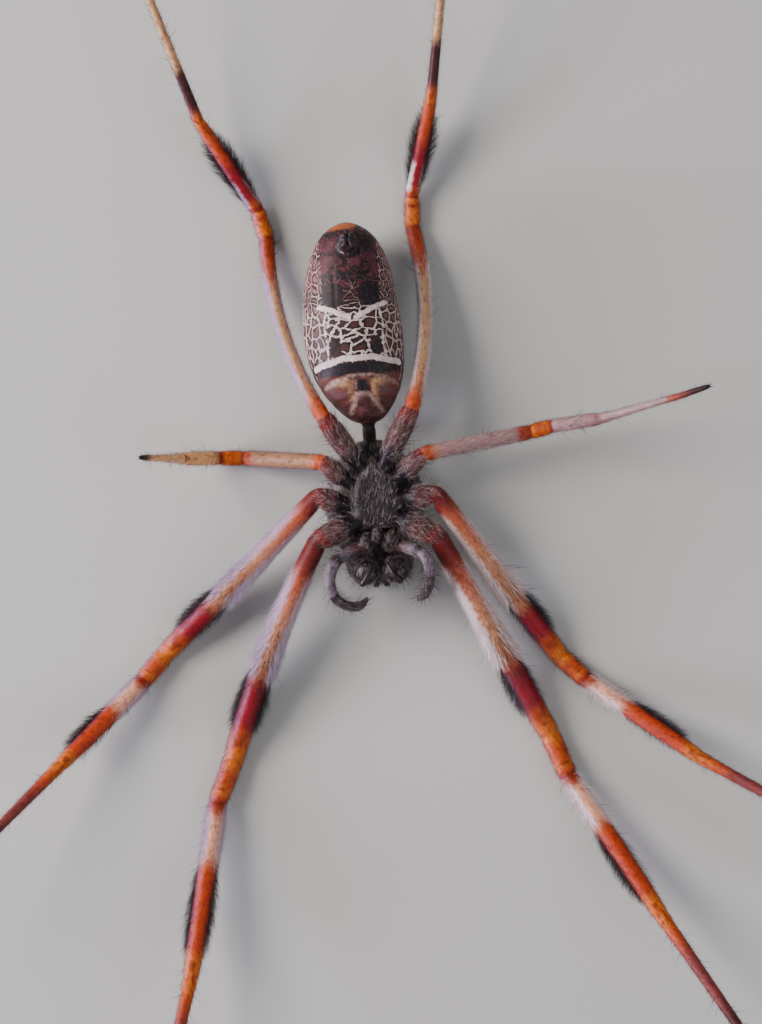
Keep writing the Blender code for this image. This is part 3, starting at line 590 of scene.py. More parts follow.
def skin_sheets(settings):
    """All the closed forms that make up the skin."""
    depth = settings.depth / MM
    points, radii = CHELICERA
    return [*(leg_sheet(leg, settings.ring_step / MM, settings.leg_sides, depth) for leg in LEGS),
            *(trunk_sheet(trunk, depth) for trunk in TRUNKS),
            *(bulge_sheet(*bulge) for bulge in BULGES),
            *(limb_sheet("chelicera", side, radii, sides=28) for side in (points, mirrored(points))),
            limb_sheet("palp", PALP_LEFT, PALP_RADII),
            limb_sheet("palp", PALP_RIGHT, PALP_RADII),
            limb_sheet("pedicel", *PEDICEL), *spinneret_sheets()]


def to_frame(points):
    """Points in millimetres from the waist, as metres in the shared frame."""
    return np.asarray(points, float) * MM + WAIST


@contextmanager
def edited(mesh):
    """A mesh's working form, which goes back into the mesh."""
    work = bmesh.new()
    work.from_mesh(mesh)
    yield work
    work.to_mesh(mesh)
    work.free()


def linked(name, data):
    """A new object of this data in the scene."""
    made = bpy.data.objects.new(name, data)
    bpy.context.scene.collection.objects.link(made)
    return made


def mesh_object(name, points, faces):
    """An object at the origin whose mesh has these points, in millimetres from the waist."""
    mesh = bpy.data.meshes.new(name)
    mesh.from_pydata(to_frame(points).tolist(), [], faces)
    with edited(mesh) as work:
        bmesh.ops.recalc_face_normals(work, faces=work.faces)
    mesh.shade_smooth()
    return linked(name, mesh)


def final_mesh(made):
    """Puts what an object's modifiers make in its own mesh, and removes them."""
    seen = made.evaluated_get(bpy.context.evaluated_depsgraph_get())
    mesh = bpy.data.meshes.new_from_object(seen)
    made.modifiers.clear()
    old = made.data
    made.data = mesh
    mesh.name = made.name
    if old.users == 0:
        bpy.data.meshes.remove(old)


def fuse(name, objects):
    """One closed mesh from several closed ones."""
    base, others = objects[0], objects[1:]
    group = bpy.data.collections.new("fuse")
    bpy.context.scene.collection.children.link(group)
    for other in others:
        bpy.context.scene.collection.objects.unlink(other)
        group.objects.link(other)
    union = base.modifiers.new("union", "BOOLEAN")
    union.operation = "UNION"
    union.operand_type = "COLLECTION"
    union.collection = group
    union.solver = "MANIFOLD"
    base.name = name
    final_mesh(base)
    for other in others:
        bpy.data.meshes.remove(other.data)
    bpy.data.collections.remove(group)
    return base


MERGE_WITHIN, SCRAP = 0.004 * MM, 0.002 * MM  # points this close are merged, faces this thin go
SMOOTHING = 0.6  # share of the way to its neighbours' middle that a point near a seam moves


def numbers(collection, field, width, kind=np.float32):
    """One property of a mesh's elements as an array."""
    values = np.zeros(len(collection) * width, kind)
    collection.foreach_get(field, values)
    return values.reshape(-1, width) if width > 1 else values


def soften_seams(mesh, fresh, rings=3, rounds=8):
    """Smooths the creases where two forms were fused, by evening out the points near them."""
    points = numbers(mesh.vertices, "co", 3).astype(float)
    edges = numbers(mesh.edges, "vertices", 2, np.int32)
    near = fresh.copy()
    for _ in range(rings):
        near[edges[near[edges].any(axis=1)].ravel()] = True
    for _ in range(rounds):
        total = np.zeros_like(points)
        count = np.zeros(len(points))
        for a, b in ((0, 1), (1, 0)):
            np.add.at(total, edges[:, a], points[edges[:, b]])
            np.add.at(count, edges[:, a], 1)
        even = total / np.maximum(count, 1)[:, None]
        points[near] = points[near] * (1 - SMOOTHING) + even[near] * SMOOTHING
    points[:, 2] = np.maximum(points[:, 2], 0.0)
    mesh.vertices.foreach_set("co", points.astype(np.float32).ravel())
    mesh.update()


def tree_of(points):
    tree = kdtree.KDTree(len(points))
    for k, point in enumerate(points):
        tree.insert(point, k)
    tree.balance()
    return tree


# Unwrap of the skin: where each kind's strips start, as shares of the picture's side, when one
# side is 68 mm long. Strips of the legs run across the picture and lie over one another.
UNWRAP_SIDE = 68.0
UNWRAP_EDGE = 0.01
LEG_STRIP, STRIP_GAP = 0.083, 0.006  # from one leg's strip to the next, and between the others
LEG_TURN = 5.2  # length of a turn round a leg, in millimetres
UNWRAP_CORNERS = {"abdomen": (0.01, 0.70), "carapace": (0.30, 0.70), "sternum": (0.30, 0.92),
                  "chelicera": (0.52, 0.70), "palp": (0.62, 0.70), "pedicel": (0.94, 0.70),
                  "spinneret": (0.70, 0.86)}
TURN_LENGTH = {"abdomen": 19.0, "carapace": 14.0, "sternum": 5.0, "chelicera": 5.5, "palp": 2.5,
               "pedicel": 2.0, "spinneret": 2.5}


def unwrap_places(sheets):
    """The place of every point of the sheets on the unwrap, and the length of a whole turn."""
    spots, widths, used = [], [], {}
    for row, sheet in enumerate(sheets):
        kind = KINDS[sheet.kind]
        run = sheet.run / UNWRAP_SIDE
        if kind in LEG_KINDS:
            corner = (UNWRAP_EDGE, UNWRAP_EDGE + row * LEG_STRIP)
        else:
            before = used.get(kind, 0.0)
            corner = (UNWRAP_CORNERS[kind][0] + before, UNWRAP_CORNERS[kind][1])
            used[kind] = before + run.max() + STRIP_GAP
        spots.append(np.stack([corner[0] + run, np.full(len(run), corner[1])], axis=1))
        widths.append(np.full(len(run), TURN_LENGTH.get(kind, LEG_TURN) / UNWRAP_SIDE))
    return np.vstack(spots), np.concatenate(widths)


def lay_unwrap(mesh, sheets, origin, sheet_of):
    """Gives every corner of the skin its place on the unwrap, with no face across a strip's edge."""
    starts = np.cumsum([0] + [len(sheet.points) for sheet in sheets])
    spots, width = unwrap_places(sheets)
    share = np.concatenate([sheet.turn for sheet in sheets]) / (2 * math.pi)
    pole = np.zeros(len(share), bool)
    pole[starts[:-1]] = True
    pole[starts[1:] - 1] = True
    corner_vert = numbers(mesh.loops, "vertex_index", 1, np.int32)
    first = numbers(mesh.polygons, "loop_start", 1, np.int32)
    size = numbers(mesh.polygons, "loop_total", 1, np.int32)
    face_of = np.repeat(np.arange(len(size)), size)
    source = origin[corner_vert]
    face_sheet = sheet_of[source[first]]
    places = numbers(mesh.vertices, "co", 3)
    trees = {}
    # A corner whose point came from another form takes the nearest point of its face's own form
    for corner in np.nonzero(sheet_of[source] != face_sheet[face_of])[0]:
        wanted = face_sheet[face_of[corner]]
        if wanted not in trees:
            trees[wanted] = tree_of(to_frame(sheets[wanted].points))
        source[corner] = starts[wanted] + trees[wanted].find(places[corner_vert[corner]])[1]
    turn = share[source]
    plain = ~pole[source]
    lowest, highest = np.full(len(size), 9.0), np.full(len(size), -9.0)
    np.minimum.at(lowest, face_of[plain], turn[plain])
    np.maximum.at(highest, face_of[plain], turn[plain])
    wraps = (highest - lowest > 0.5)[face_of]
    turn = np.where(wraps & (turn < 0.5), turn + 1, turn)
    total, count = np.zeros(len(size)), np.zeros(len(size))
    np.add.at(total, face_of[plain], turn[plain])
    np.add.at(count, face_of[plain], 1)
    turn = np.where(plain, turn, (total / np.maximum(count, 1))[face_of])
    place = spots[source]
    place[:, 1] += turn * width[source]
    layer = mesh.uv_layers.new(name="OFBake")
    layer.data.foreach_set("uv", place.astype(np.float32).ravel())


def store(mesh, name, values):
    """Keeps numbers or vectors at the mesh's points as a named attribute."""
    kind, field = ("FLOAT_VECTOR", "vector") if values.ndim == 2 else ("FLOAT", "value")
    attribute = mesh.attributes.new(name, kind, "POINT")
    attribute.data.foreach_set(field, values.astype(np.float32).ravel())


def patchy(points, size, seed):
    """Smooth noise from about -1 to 1 whose patches have this size."""
    shift = Vector((seed * 7.3, seed * 3.1, seed * 5.7))
    return np.array([noise.noise(Vector(p) / size + shift) for p in points])


def depth_in_line(x, y, mark):
    """Signed distance inside a line of some width, drawn on both sides."""
    nearest = np.full(len(x), 99.0)
    place = np.stack([np.abs(x), y], axis=1)
    for start, end in zip(mark.points, mark.points[1:]):
        start, end = np.array(start), np.array(end)
        along = end - start
        t = np.clip((place - start) @ along / (along @ along), 0, 1)
        nearest = np.minimum(nearest, np.linalg.norm(place - start - t[:, None] * along, axis=1))
    return mark.half_width - nearest


def depth_in_blot(x, y, mark):
    """Signed distance inside a rounded blot, drawn on both sides."""
    across = (np.abs(x) - mark.centre[0]) / mark.radii[0]
    along = (y - mark.centre[1]) / mark.radii[1]
    return (1 - (np.abs(across) ** 2.6 + np.abs(along) ** 2.6) ** (1 / 2.6)) * min(mark.radii)


def belly_markings(x, y, facing):
    """For each colour, how deep inside its marks a point lies. Marks end where the flank turns."""
    depths = {}
    for mark in MARKS:
        depth = depth_in_line(x, y, mark) if isinstance(mark, Line) else depth_in_blot(x, y, mark)
        depths[mark.colour] = np.maximum(depths.get(mark.colour, -9.0), depth)
    flank = ramp_up(0.45 - facing, 0, 0.5)
    depths = {colour: depth - 3 * flank for colour, depth in depths.items()}
    stripes = np.full(len(x), -9.0)
    for level, half_width in FLANK_STRIPES:
        line = 0.03 * np.sin(y * 1.3 + level * 9) + 0.015 * np.sin(y * 3.7 + level * 5)
        stripes = np.maximum(stripes, half_width - np.abs(facing - level - line))
    depths["pale"] = np.maximum(depths["pale"], stripes * 3.6 - 3 * ramp_up(3.4 - y, 0, 1))
    return depths


def store_places(made, sheets):
    """Stores on the skin what its hair and its colours need to know of each point."""
    mesh = made.data
    sheet_of = np.repeat(np.arange(len(sheets)), [len(sheet.points) for sheet in sheets])
    tree = tree_of(to_frame(np.vstack([sheet.points for sheet in sheets])))
    found = np.array([tree.find(point)[1:] for point in numbers(mesh.vertices, "co", 3)])
    origin = found[:, 0].astype(int)
    soften_seams(mesh, found[:, 1] > SCRAP)
    lay_unwrap(mesh, sheets, origin, sheet_of)
    points = (numbers(mesh.vertices, "co", 3) - WAIST) / MM
    kind, side = (np.array([getattr(sheet, name) for sheet in sheets])[sheet_of[origin]]
                  for name in ("kind", "side"))
    place, turn, lie = (np.concatenate([getattr(sheet, name) for sheet in sheets])[origin]
                        for name in ("place", "turn", "lie"))
    skin = Skin(points, kind, place, np.cos(turn), np.sin(turn) * side)
    # The bands of the second legs lie a little further out at the knee, and further in at the root
    late = is_kind(skin, "leg_2") * (hump(place, 0.07, 1.66, 0.14) - hump(place, 0.07, 1.11, 0.12))
    aside = points[:, 0] - lean_at(TRUNKS[0], points[:, 1]) - BELLY_MIDDLE
    stations = np.array(ABDOMEN)
    width = np.interp(points[:, 1], stations[:, 0], stations[:, 1])
    known = {"root": points, "lie": lie, "belly": skin.belly, "aside": aside,
             "place": np.where(is_kind(skin, *LEG_KINDS, "palp"), place - late, 0.0),
             # left: how far the skin faces -X, towards the key and rim lights; it places the legs'
             # painted highlight
             "left": -numbers(mesh.vertex_normals, "vector", 3)[:, 0],
             "around": (np.mod(turn + math.pi, 2 * math.pi) - math.pi) * width}
    for colour, depth in belly_markings(aside, points[:, 1], skin.belly).items():
        known[colour + "_mark"] = np.where(is_kind(skin, "abdomen"), depth, -9.0)
    for name, values in {**known, **hair_on_skin(skin)}.items():
        store(mesh, name, values)
    return skin


# What is known of each point of the skin: belly is 1 where it faces up, fore 1 ahead of a leg
Skin = namedtuple("Skin", "points kind place belly fore")


def is_kind(skin, *names):
    return np.isin(skin.kind, [KINDS.index(name) for name in names])


def hair_on_skin(skin):
    """How dense each coat is at every point of the skin, from 0 to 1, and how long its hair is."""
    def on(*names):
        return is_kind(skin, *names)

    def over(low, high, fade=0.04):
        """1 between two places along a leg, 0 outside, with a soft start and end."""
        return ramp_up(place, low - fade, low + fade) * (1 - ramp_up(place, high - fade, high + fade))

    def pale(legs):
        return sum(full * over(low, high) for low, high, full in PALE_HAIR[legs])

    place, fore = skin.place, skin.fore
    turn = np.degrees(np.arccos(np.clip(skin.belly, -1, 1)))
    brush, longer = np.zeros(len(place)), np.ones(len(place))
    for (pair, segment), (first, last) in BRUSHES.items():
        leg = on("leg_%d" % pair)
        start = SEGMENTS.index(segment)
        ahead, behind = (np.where(skin.points[:, 0] > 0, *sides) for sides in zip(*BRUSH_SIDES[pair]))
        full = np.where(fore > 0, ahead, behind)
        inside = over(start + first, start + last, 0.05) * leg
        brush = np.maximum(brush, inside * ramp_up(turn, *BRUSH_EDGE) * full)
        # A brush is longest in its middle
        share = (place - start - first) / (last - first)
        size = 0.45 + 0.65 * np.sin(math.pi * np.clip(share, 0, 1)) ** 0.7
        longer = np.where(leg & (share > -0.3) & (share < 1.3), size * (0.45 + 0.55 * full), longer)
    legs = on(*LEG_KINDS)
    coxa = legs * over(0.02, 0.95)
    edge = 0.02 + 0.98 * ramp_up(turn, *FRINGE_EDGE) * (0.8 + 0.2 * fore)
    front = pale("front") * edge
    third = on("leg_3") * (0.08 + 0.25 * ramp_up(skin.points[:, 0], -1, 1)) * pale("third")
    back = (third + on("leg_4") * pale("hind") * (0.65 + 0.35 * fore)) * edge
    bare = 1 - np.clip(brush + on("leg_1", "leg_2") * front + back + coxa, 0, 1)
    net = np.clip(0.5 + 4.0 * (0.12 - np.abs(patchy(skin.points, 0.8, 3))), 0, 1)
    masks = {
        "brushes": brush, "pale_first": front * on("leg_1"), "pale_second": front * on("leg_2"),
        "pale_back": back, "fine": legs * bare * over(1.0, 5.95),
        "spines": legs * over(1.2, 5.6) * (0.35 + 0.65 * (place > 3)),
        "carapace": on("carapace") * (0.6 + 0.4 * net),
        "chest": on("sternum") * (0.14 + 0.42 * net) + coxa * (0.25 + 0.5 * net),
        "jaws": on("chelicera") * (0.12 + 0.60 * net) + on("palp") * 0.4,
        "bristles": (on("palp") * (0.5 + 0.5 * (place > 3)) + 0.5 * on("chelicera") + 0.4 * coxa
                     + 0.25 * on("sternum")),
        "abdomen": on("abdomen", "spinneret", "pedicel") * 1.0,
    }
    # The fringe of a front femur grows towards its brush
    femur = on("leg_1", "leg_2") & (place > 1.0) & (place < 1.7)
    fringe = np.where(femur, 0.65 + 0.95 * ramp_up(place, 1.2, 1.6), 1.0)
    return {**{"hair_" + name: np.clip(mask, 0, 1) for name, mask in masks.items()},
            "size_brushes": longer, "size_others": fringe}


class Value:
    """What a node puts out. Sums are written on it as on a number or a vector."""

    def __init__(self, work, socket):
        self.work = work
        self.socket = socket

    def combine(self, operation, first, second):
        if self.socket.type not in ("VECTOR", "RGBA"):
            return self.work.math(operation, first, second)
        scaled = operation == "MULTIPLY" and not isinstance(second, tuple)
        return self.work.vector("SCALE" if scaled else operation, first, second)

    def __add__(self, other):
        return self.combine("ADD", self, other)

    def __sub__(self, other):
        return self.combine("SUBTRACT", self, other)

    def __rsub__(self, other):
        return self.combine("SUBTRACT", other, self)

    def __mul__(self, other):
        return self.combine("MULTIPLY", self, other)

    def __truediv__(self, other):
        return self.combine("DIVIDE", self, other)

    def __abs__(self):
        return self.work.math("ABSOLUTE", self)

    def part(self, axis):
        return self.work.add("ShaderNodeSeparateXYZ", {0: self}, axis)

    def beside(self, name):
        """Another output of the same node."""
        return Value(self.work, self.socket.node.outputs[name])


class NodeWork:
    """Adds nodes to a tree from left to right, and links what each is given."""

    def __init__(self, tree):
        self.tree = tree
        self.count = 0

    def add(self, kind, values=None, out=None, **settings):
        node = self.tree.nodes.new(kind)
        node.location = (200 * (self.count % 24), -220 * (self.count // 24))
        self.count += 1
        for name, value in settings.items():
            setattr(node, name, value)
        for key, value in (values or {}).items():
            socket = self.socket(node.inputs, key)
            if isinstance(value, Value):
                self.tree.links.new(value.socket, socket)
            else:
                socket.default_value = value
        return Value(self, self.socket(node.outputs, out))

    @staticmethod
    def socket(sockets, key):
        if isinstance(key, int):
            return sockets[key]
        return next(s for s in sockets if s.enabled and (key is None or s.name == key))

    def math(self, operation, *values):
        return self.add("ShaderNodeMath", dict(enumerate(values)), operation=operation)

    def vector(self, operation, first, second=(0.0, 0.0, 0.0)):
        key = "Scale" if operation == "SCALE" else 1
        out = "Value" if operation == "DOT_PRODUCT" else "Vector"
        return self.add("ShaderNodeVectorMath", {0: first, key: second}, out, operation=operation)

    def joined(self, x, y, z=0.0):
        return self.add("ShaderNodeCombineXYZ", {"X": x, "Y": y, "Z": z})

    def rise(self, value, low, high):
        """0 where a value is below low, 1 above high."""
        return self.add("ShaderNodeMapRange", {"Value": value, "From Min": low, "From Max": high},
                        "Result", interpolation_type="SMOOTHSTEP")

    def between(self, value, low, full, last, high):
        """1 where a value lies from full to last, 0 below low and above high."""
        return self.rise(value, low, full) * self.rise(value, high, last)


class Finish(NodeWork):
    """A node material in the making, whose colours are laid over one another."""

    def __init__(self, name, **constants):
        self.material = bpy.data.materials.new(name)
        self.material.use_nodes = True
        super().__init__(self.material.node_tree)
        self.shader = self.tree.nodes["Principled BSDF"]
        self.colour = None
        for key, value in constants.items():
            self.shader.inputs[key.replace("_", " ")].default_value = value

    def attribute(self, name, out="Fac"):
        return self.add("ShaderNodeAttribute", {}, out, attribute_name=name)

    @cached_property
    def root(self):
        """Where on the skin a point or the root of a hair lies."""
        return self.attribute("root", "Vector")

    def mix(self, factor, a, b, blend="MIX"):
        return self.add("ShaderNodeMix", {0: factor, 6: rgba(a), 7: rgba(b)}, 2,
                        data_type="RGBA", blend_type=blend)

    def cover(self, factor, colour, blend="MIX"):
        """Lays a colour over what is painted so far."""
        self.colour = self.mix(factor, self.colour, colour, blend)

    def bands(self, place, stops, colours):
        """Paints along a leg, from stops of place and colour name, in ramps of a few stops."""
        for first in range(0, len(stops) - 1, RAMP_STOPS):
            part = stops[first:first + RAMP_STOPS + 1]
            ramp = self.add("ShaderNodeValToRGB", {"Fac": place / len(SEGMENTS)}, "Color")
            elements = ramp.socket.node.color_ramp.elements
            elements.remove(elements[-1])
            elements[0].position = part[0][0] / len(SEGMENTS)
            elements[0].color = rgba(getattr(colours, part[0][1]))
            for stop, colour in part[1:]:
                elements.new(stop / len(SEGMENTS)).color = rgba(getattr(colours, colour))
            if first:
                self.cover(self.math("GREATER_THAN", place, part[0][0]), ramp)
            else:
                self.colour = ramp

    def noise(self, scale, detail=2.0, out="Fac", where=None):
        return self.add("ShaderNodeTexNoise", {"Vector": where or self.root, "Scale": scale,
                                               "Detail": detail}, out)

    def patch(self, scale, detail, low, high):
        """1 in soft patches, where the noise lies above high, and 0 where it lies below low."""
        return self.rise(self.noise(scale, detail), low, high)

    def specks(self, scale):
        """Distance from the middle of the nearest of many specks."""
        return self.add("ShaderNodeTexVoronoi", {"Vector": self.root, "Scale": scale}, "Distance")

    def net(self, where):
        """Distance from the nearest thread of a flat net."""
        return self.add("ShaderNodeTexVoronoi", {"Vector": where, "Scale": 1.0}, "Distance",
                        feature="DISTANCE_TO_EDGE", voronoi_dimensions="2D")

    def finish(self, height=None, distance=0.0):
        """Links the colour, and a bump of this height in metres."""
        self.tree.links.new(self.colour.socket, self.shader.inputs["Base Color"])
        if height is not None:
            bump = self.add("ShaderNodeBump", {"Height": height, "Distance": distance,
                                               "Strength": 1.0})
            self.tree.links.new(bump.socket, self.shader.inputs["Normal"])
        return self.material


def rgba(colour):
    return colour if isinstance(colour, Value) else (*tuple(colour)[:3], 1.0)


# Colours along the legs: places count segments from the coxa's root, 1 being the femur's root
RAMP_STOPS = 20  # of one colour ramp
COXA_BANDS = ((0.0, "brown"), (0.70, "brown"), (0.80, "maroon"), (0.97, "maroon"))
FRONT_BANDS = COXA_BANDS + (
    (1.0, "brown"), (1.03, "maroon"), (1.09, "maroon"), (1.19, "rust"), (1.36, "peach"),
    (1.58, "peach"), (1.63, "rust"), (1.67, "crimson"), (1.84, "crimson"), (1.89, "orange"),
    (1.97, "amber"), (2.12, "amber"), (2.35, "orange"), (2.62, "orange"), (2.74, "amber"),
    (2.90, "orange"), (3.0, "ember"), (3.05, "rust"), (3.11, "pink"), (3.30, "pink"),
    (3.38, "orange"), (3.46, "red"), (3.82, "red"), (3.91, "amber"), (4.03, "amber"),
    (4.10, "orange"), (4.24, "wine"), (4.42, "wine"), (4.60, "brown"), (5.3, "black"))
THIRD_BANDS = COXA_BANDS + (
    (1.0, "orange"), (1.05, "orange"), (1.13, "peach"), (1.35, "buff"), (1.78, "buff"),
    (1.90, "rust"), (2.0, "ember"), (2.10, "amber"), (2.45, "orange"), (2.72, "amber"),
    (2.90, "orange"), (3.0, "ember"), (3.10, "peach"), (3.50, "buff"), (3.80, "rust"),
    (3.97, "orange"), (4.10, "buff"), (4.66, "buff"), (4.86, "rust"), (5.06, "wine"),
    (5.45, "brown"), (6.0, "black"))
HIND_BANDS = COXA_BANDS + (
    (0.98, "orange"), (1.05, "orange"), (1.14, "peach"), (1.30, "buff"), (1.68, "buff"),
    (1.80, "rust"), (1.93, "orange"), (2.0, "ember"), (2.10, "amber"), (2.52, "amber"),
    (2.72, "orange"), (2.92, "amber"), (3.0, "ember"), (3.06, "orange"), (3.15, "crimson"),
    (3.45, "crimson"), (3.62, "red"), (3.88, "orange"), (4.02, "amber"), (4.06, "wine"),
    (4.10, "brown"), (4.27, "brown"), (4.35, "buff"), (4.90, "buff"), (5.1, "wine"),
    (5.5, "black"))
LEG_BANDS = {"leg_front": FRONT_BANDS, "leg_third": THIRD_BANDS, "leg_hind": HIND_BANDS}
# Where along each leg its pale down starts, is full, begins to thin and ends
PALE_STRETCH = {"leg_front": (1.12, 1.25, 1.58, 1.66), "leg_third": (1.06, 1.2, 4.8, 4.9),
                "leg_hind": (1.06, 1.2, 1.72, 1.84)}


def leg_finish(name, colours):
    """Banded skin of a pair of legs: rings on the knees, specks, pale down on the flanks, and a
    painted highlight on the flank that faces the lights.
    """
    paint = Finish(name, Roughness=0.42, Specular_IOR_Level=0.16, Subsurface_Weight=0.1,
                   Subsurface_Radius=(0.0006, 0.00015, 0.00008))
    third = name == "leg_third"
    left_leg = paint.rise(paint.root.part("X"), 1.0, -1.0)
    right_leg = 1 - left_leg
    place = paint.attribute("place")
    belly = paint.attribute("belly")

    def along(*stretch):
        return paint.between(place, *stretch)

    rings = paint.noise(1.7, 3.0, where=paint.joined(place * 5.0, belly, paint.noise(0.5)))
    wander = (rings - 0.5) * 0.07 + (paint.noise(2.2, 3.0) - 0.5) * 0.05
    paint.bands(place + wander, LEG_BANDS[name], colours)
    if third:
        paint.cover(along(3.05, 3.3, 4.9, 5.7) * left_leg * 0.8, (1.0, 0.52, 0.22))
        paint.cover(along(1.06, 1.2, 1.8, 1.9) * left_leg * 0.75, (0.25, 0.115, 0.065))
    first_knee = along(1.84, 1.92, 2.98, 3.05)
    knees = first_knee + along(3.84, 3.9, 4.1, 4.2)
    paint.cover(paint.rise(rings, 0.55, 0.66) * knees * 0.75, colours.ember)
    shade = paint.mix(paint.patch(2.6, 4.0, 0.45, 0.72), (1, 1, 1), (0.62, 0.45, 0.42))
    paint.cover(0.8, shade, "MULTIPLY")
    # Pale down shows on the flanks of the pale stretches
    pale = along(*PALE_STRETCH[name])
    if third:
        pale = pale * (1 - first_knee)
    pale = paint.math("MAXIMUM", pale, along(3.03, 3.10, 3.30, 3.38))
    if third:
        paint.cover(pale * right_leg * 0.8, (0.27, 0.16, 0.19))
    else:
        down = pale * paint.rise(abs(belly), 0.92, 0.60) * paint.patch(6.0, 2.0, 0.35, 0.6)
        paint.cover(down * 0.5, colours.lilac)
    # The flank that faces -X, the picture's left, towards the key and rim lights, has a painted
    # highlight: white on the right legs, a violet painted sky sheen on the left legs
    streaks = (paint.noise(3.0, 4.0) - 0.5) * 0.9
    left = paint.rise(paint.attribute("left") + streaks, 0.15, 0.70)
    if third:
        left = left * right_leg * 0.25
    lit_flank_sheen = paint.mix(left_leg, (0.74, 0.65, 0.66), (0.38, 0.30, 0.42))
    paint.cover(left * pale * 0.85, lit_flank_sheen)
    # A fainter violet painted sky sheen lies on the same lit flank along the knees, stronger on the
    # left legs
    paint.cover(left * along(1.06, 1.3, 3.6, 4.4) * (left_leg * 0.22 + 0.12), (0.34, 0.15, 0.32))
    coxa = paint.rise(place, 0.78, 0.66) * paint.patch(2.3, 5.0, 0.40, 0.75)
    paint.cover(coxa * 0.6, colours.grey)
    paint.cover(paint.rise(place, 0.42, 0.06), colours.black)
    dots = paint.rise(paint.specks(8.0), 0.20, 0.10)
    paint.cover(dots * 0.4, colours.brown)
    return paint.finish(dots * 0.6 + paint.noise(6.0, 3.0), 0.03 * MM)


def abdomen_finish(colours):
    """Dark belly with its cream net, bars and blots, striped flanks and an olive back."""
    paint = Finish("abdomen_skin", Roughness=0.48, Specular_IOR_Level=0.2)
    aside = abs(paint.attribute("aside"))
    y = paint.root.part("Y")
    where = paint.joined(paint.attribute("around"), y)
    for scale, strength in ((1.3, 0.7), (5.0, 0.22)):
        where = where + (paint.noise(scale, 1.0, "Color") - (0.5, 0.5, 0.5)) * strength
    flank = paint.rise(aside, 2.15, 2.35)
    net = (paint.net(where * (1.12, 1.66, 1.0)) * (1 - flank)
           + paint.net(where * (1.45, 1.15, 1.0)) * flank)
    # The net is full between the arcs and the bar, thin and broken behind, missing in front
    full = paint.between(y, 5.6, 6.2, 9.2, 10.4)
    ragged = paint.noise(4.0, 4.0) - 0.5
    patches = paint.noise(0.9, 2.0) - 0.5
    width = (full * 0.062 + 0.042 + patches * 0.06 + ragged * 0.05
             - paint.rise(y, 11.4, 12.6) * (1 - flank) * 0.045 - paint.rise(y, 5.5, 4.7) * 0.3)
    centre = paint.rise(net + ragged * 0.3, 0.18, 0.42)
    paint.colour = paint.mix(centre, colours.black,
                             paint.mix(full, colours.plum, (0.062, 0.022, 0.020)))
    paint.cover(paint.patch(0.8, 3.0, 0.48, 0.68) * centre * 0.5, (0.08, 0.026, 0.020))
    maroon = paint.between(y, 11.2, 12.3, 15.2, 15.9) * paint.patch(0.6, 3.0, 0.40, 0.56)
    paint.cover(maroon * 0.85, (0.088, 0.020, 0.032))
    side_cell = paint.mix(paint.rise(y, 7.6, 10.2), (0.075, 0.030, 0.026), (0.21, 0.10, 0.085))
    paint.cover(flank * centre, side_cell)
    black = paint.rise(paint.attribute("black_mark") + ragged * 0.22, -0.05, 0.05)
    sheen = paint.mix(paint.patch(1.1, 2.0, 0.5, 0.75), colours.black, (0.045, 0.018, 0.018))
    paint.cover(black, sheen)
    pale = paint.mix(paint.patch(2.4, 3.0, 0.35, 0.65), colours.cream, (0.66, 0.55, 0.56))
    web = paint.rise(width - net, -0.035, 0.035) * (1 - black)
    thread = paint.mix(paint.rise(y, 9.6, 10.8), paint.mix(0.3, pale, (0.34, 0.22, 0.18)),
                       (0.20, 0.105, 0.095))
    paint.cover(web, paint.mix(flank, thread, (0.42, 0.30, 0.265)))
    # In front of the net lie the two lung plates and, between them, the dark opening
    front = paint.rise(y, 4.72, 4.42)
    smooth = paint.mix(paint.patch(1.3, 4.0, 0.40, 0.66), (0.045, 0.014, 0.017),
                       (0.12, 0.042, 0.042))
    rusty = paint.mix(paint.patch(1.7, 3.0, 0.42, 0.66), (0.10, 0.042, 0.048),
                      (0.12, 0.032, 0.018))
    lungs = paint.rise(aside, 0.8, 1.4) * paint.rise(y, 2.2, 3.0)
    paint.cover(front, paint.mix(lungs * 0.9, smooth, rusty))
    paint.cover(black * front, colours.black)
    for mark, shake, low, high, share, tint in (("bloom", 0.5, -0.22, 0.15, 0.75, (0.40, 0.26, 0.22)),
                                                ("tan", 0.7, -0.25, 0.22, 0.8, colours.tan),
                                                ("pale", 0.22, -0.04, 0.04, 1.0, pale)):
        inside = paint.rise(paint.attribute(mark + "_mark") + ragged * shake, low, high)
        paint.cover(inside * share, tint)
    tail = paint.rise(y, 16.1, 16.5) * paint.patch(0.9, 2.0, 0.36, 0.50)
    paint.cover(tail, (0.36, 0.09, 0.025))
    # The back: olive brown with pale specks
    specks = paint.rise(paint.specks(1.7) + ragged * 0.8, 0.30, 0.14)
    back = paint.mix(specks, colours.olive, colours.cream)
    back = paint.mix(paint.patch(1.3, 4.0, 0.40, 0.65), back, (0.05, 0.035, 0.025))
    edge = paint.attribute("belly") + patches * 0.7 + ragged * 0.35
    paint.cover(paint.rise(edge, -0.12, -0.36), back)
    return paint.finish(web * 0.4 + paint.noise(8.0, 3.0), 0.015 * MM)


def dark_finish(name, colours, light, amount, roughness=0.45, grain=0.04):
    """Black skin of the head, chest and jaws, with a lighter bloom in patches."""
    paint = Finish(name, Roughness=roughness, Specular_IOR_Level=0.3)
    paint.colour = paint.mix(paint.patch(1.6, 4.0, 0.45, 0.72) * amount, colours.black, light)
    return paint.finish(paint.noise(8.0, 4.0), grain * MM)


def hair_finish(name, colour, tip, left=None):
    """Hair of one colour that varies from tuft to tuft, and on the left legs takes a painted violet
    sky sheen.
    """
    paint = Finish(name, Roughness=0.5, Specular_IOR_Level=0.4)
    paint.colour = paint.mix(paint.patch(3.7, 3.0, 0.35, 0.68), colour, tip)
    if left is not None:
        # On the left legs the hair takes a painted violet sheen of sky light
        paint.cover(paint.rise(paint.root.part("X"), 1.0, -1.0) * 0.7, left)
    return paint.finish()


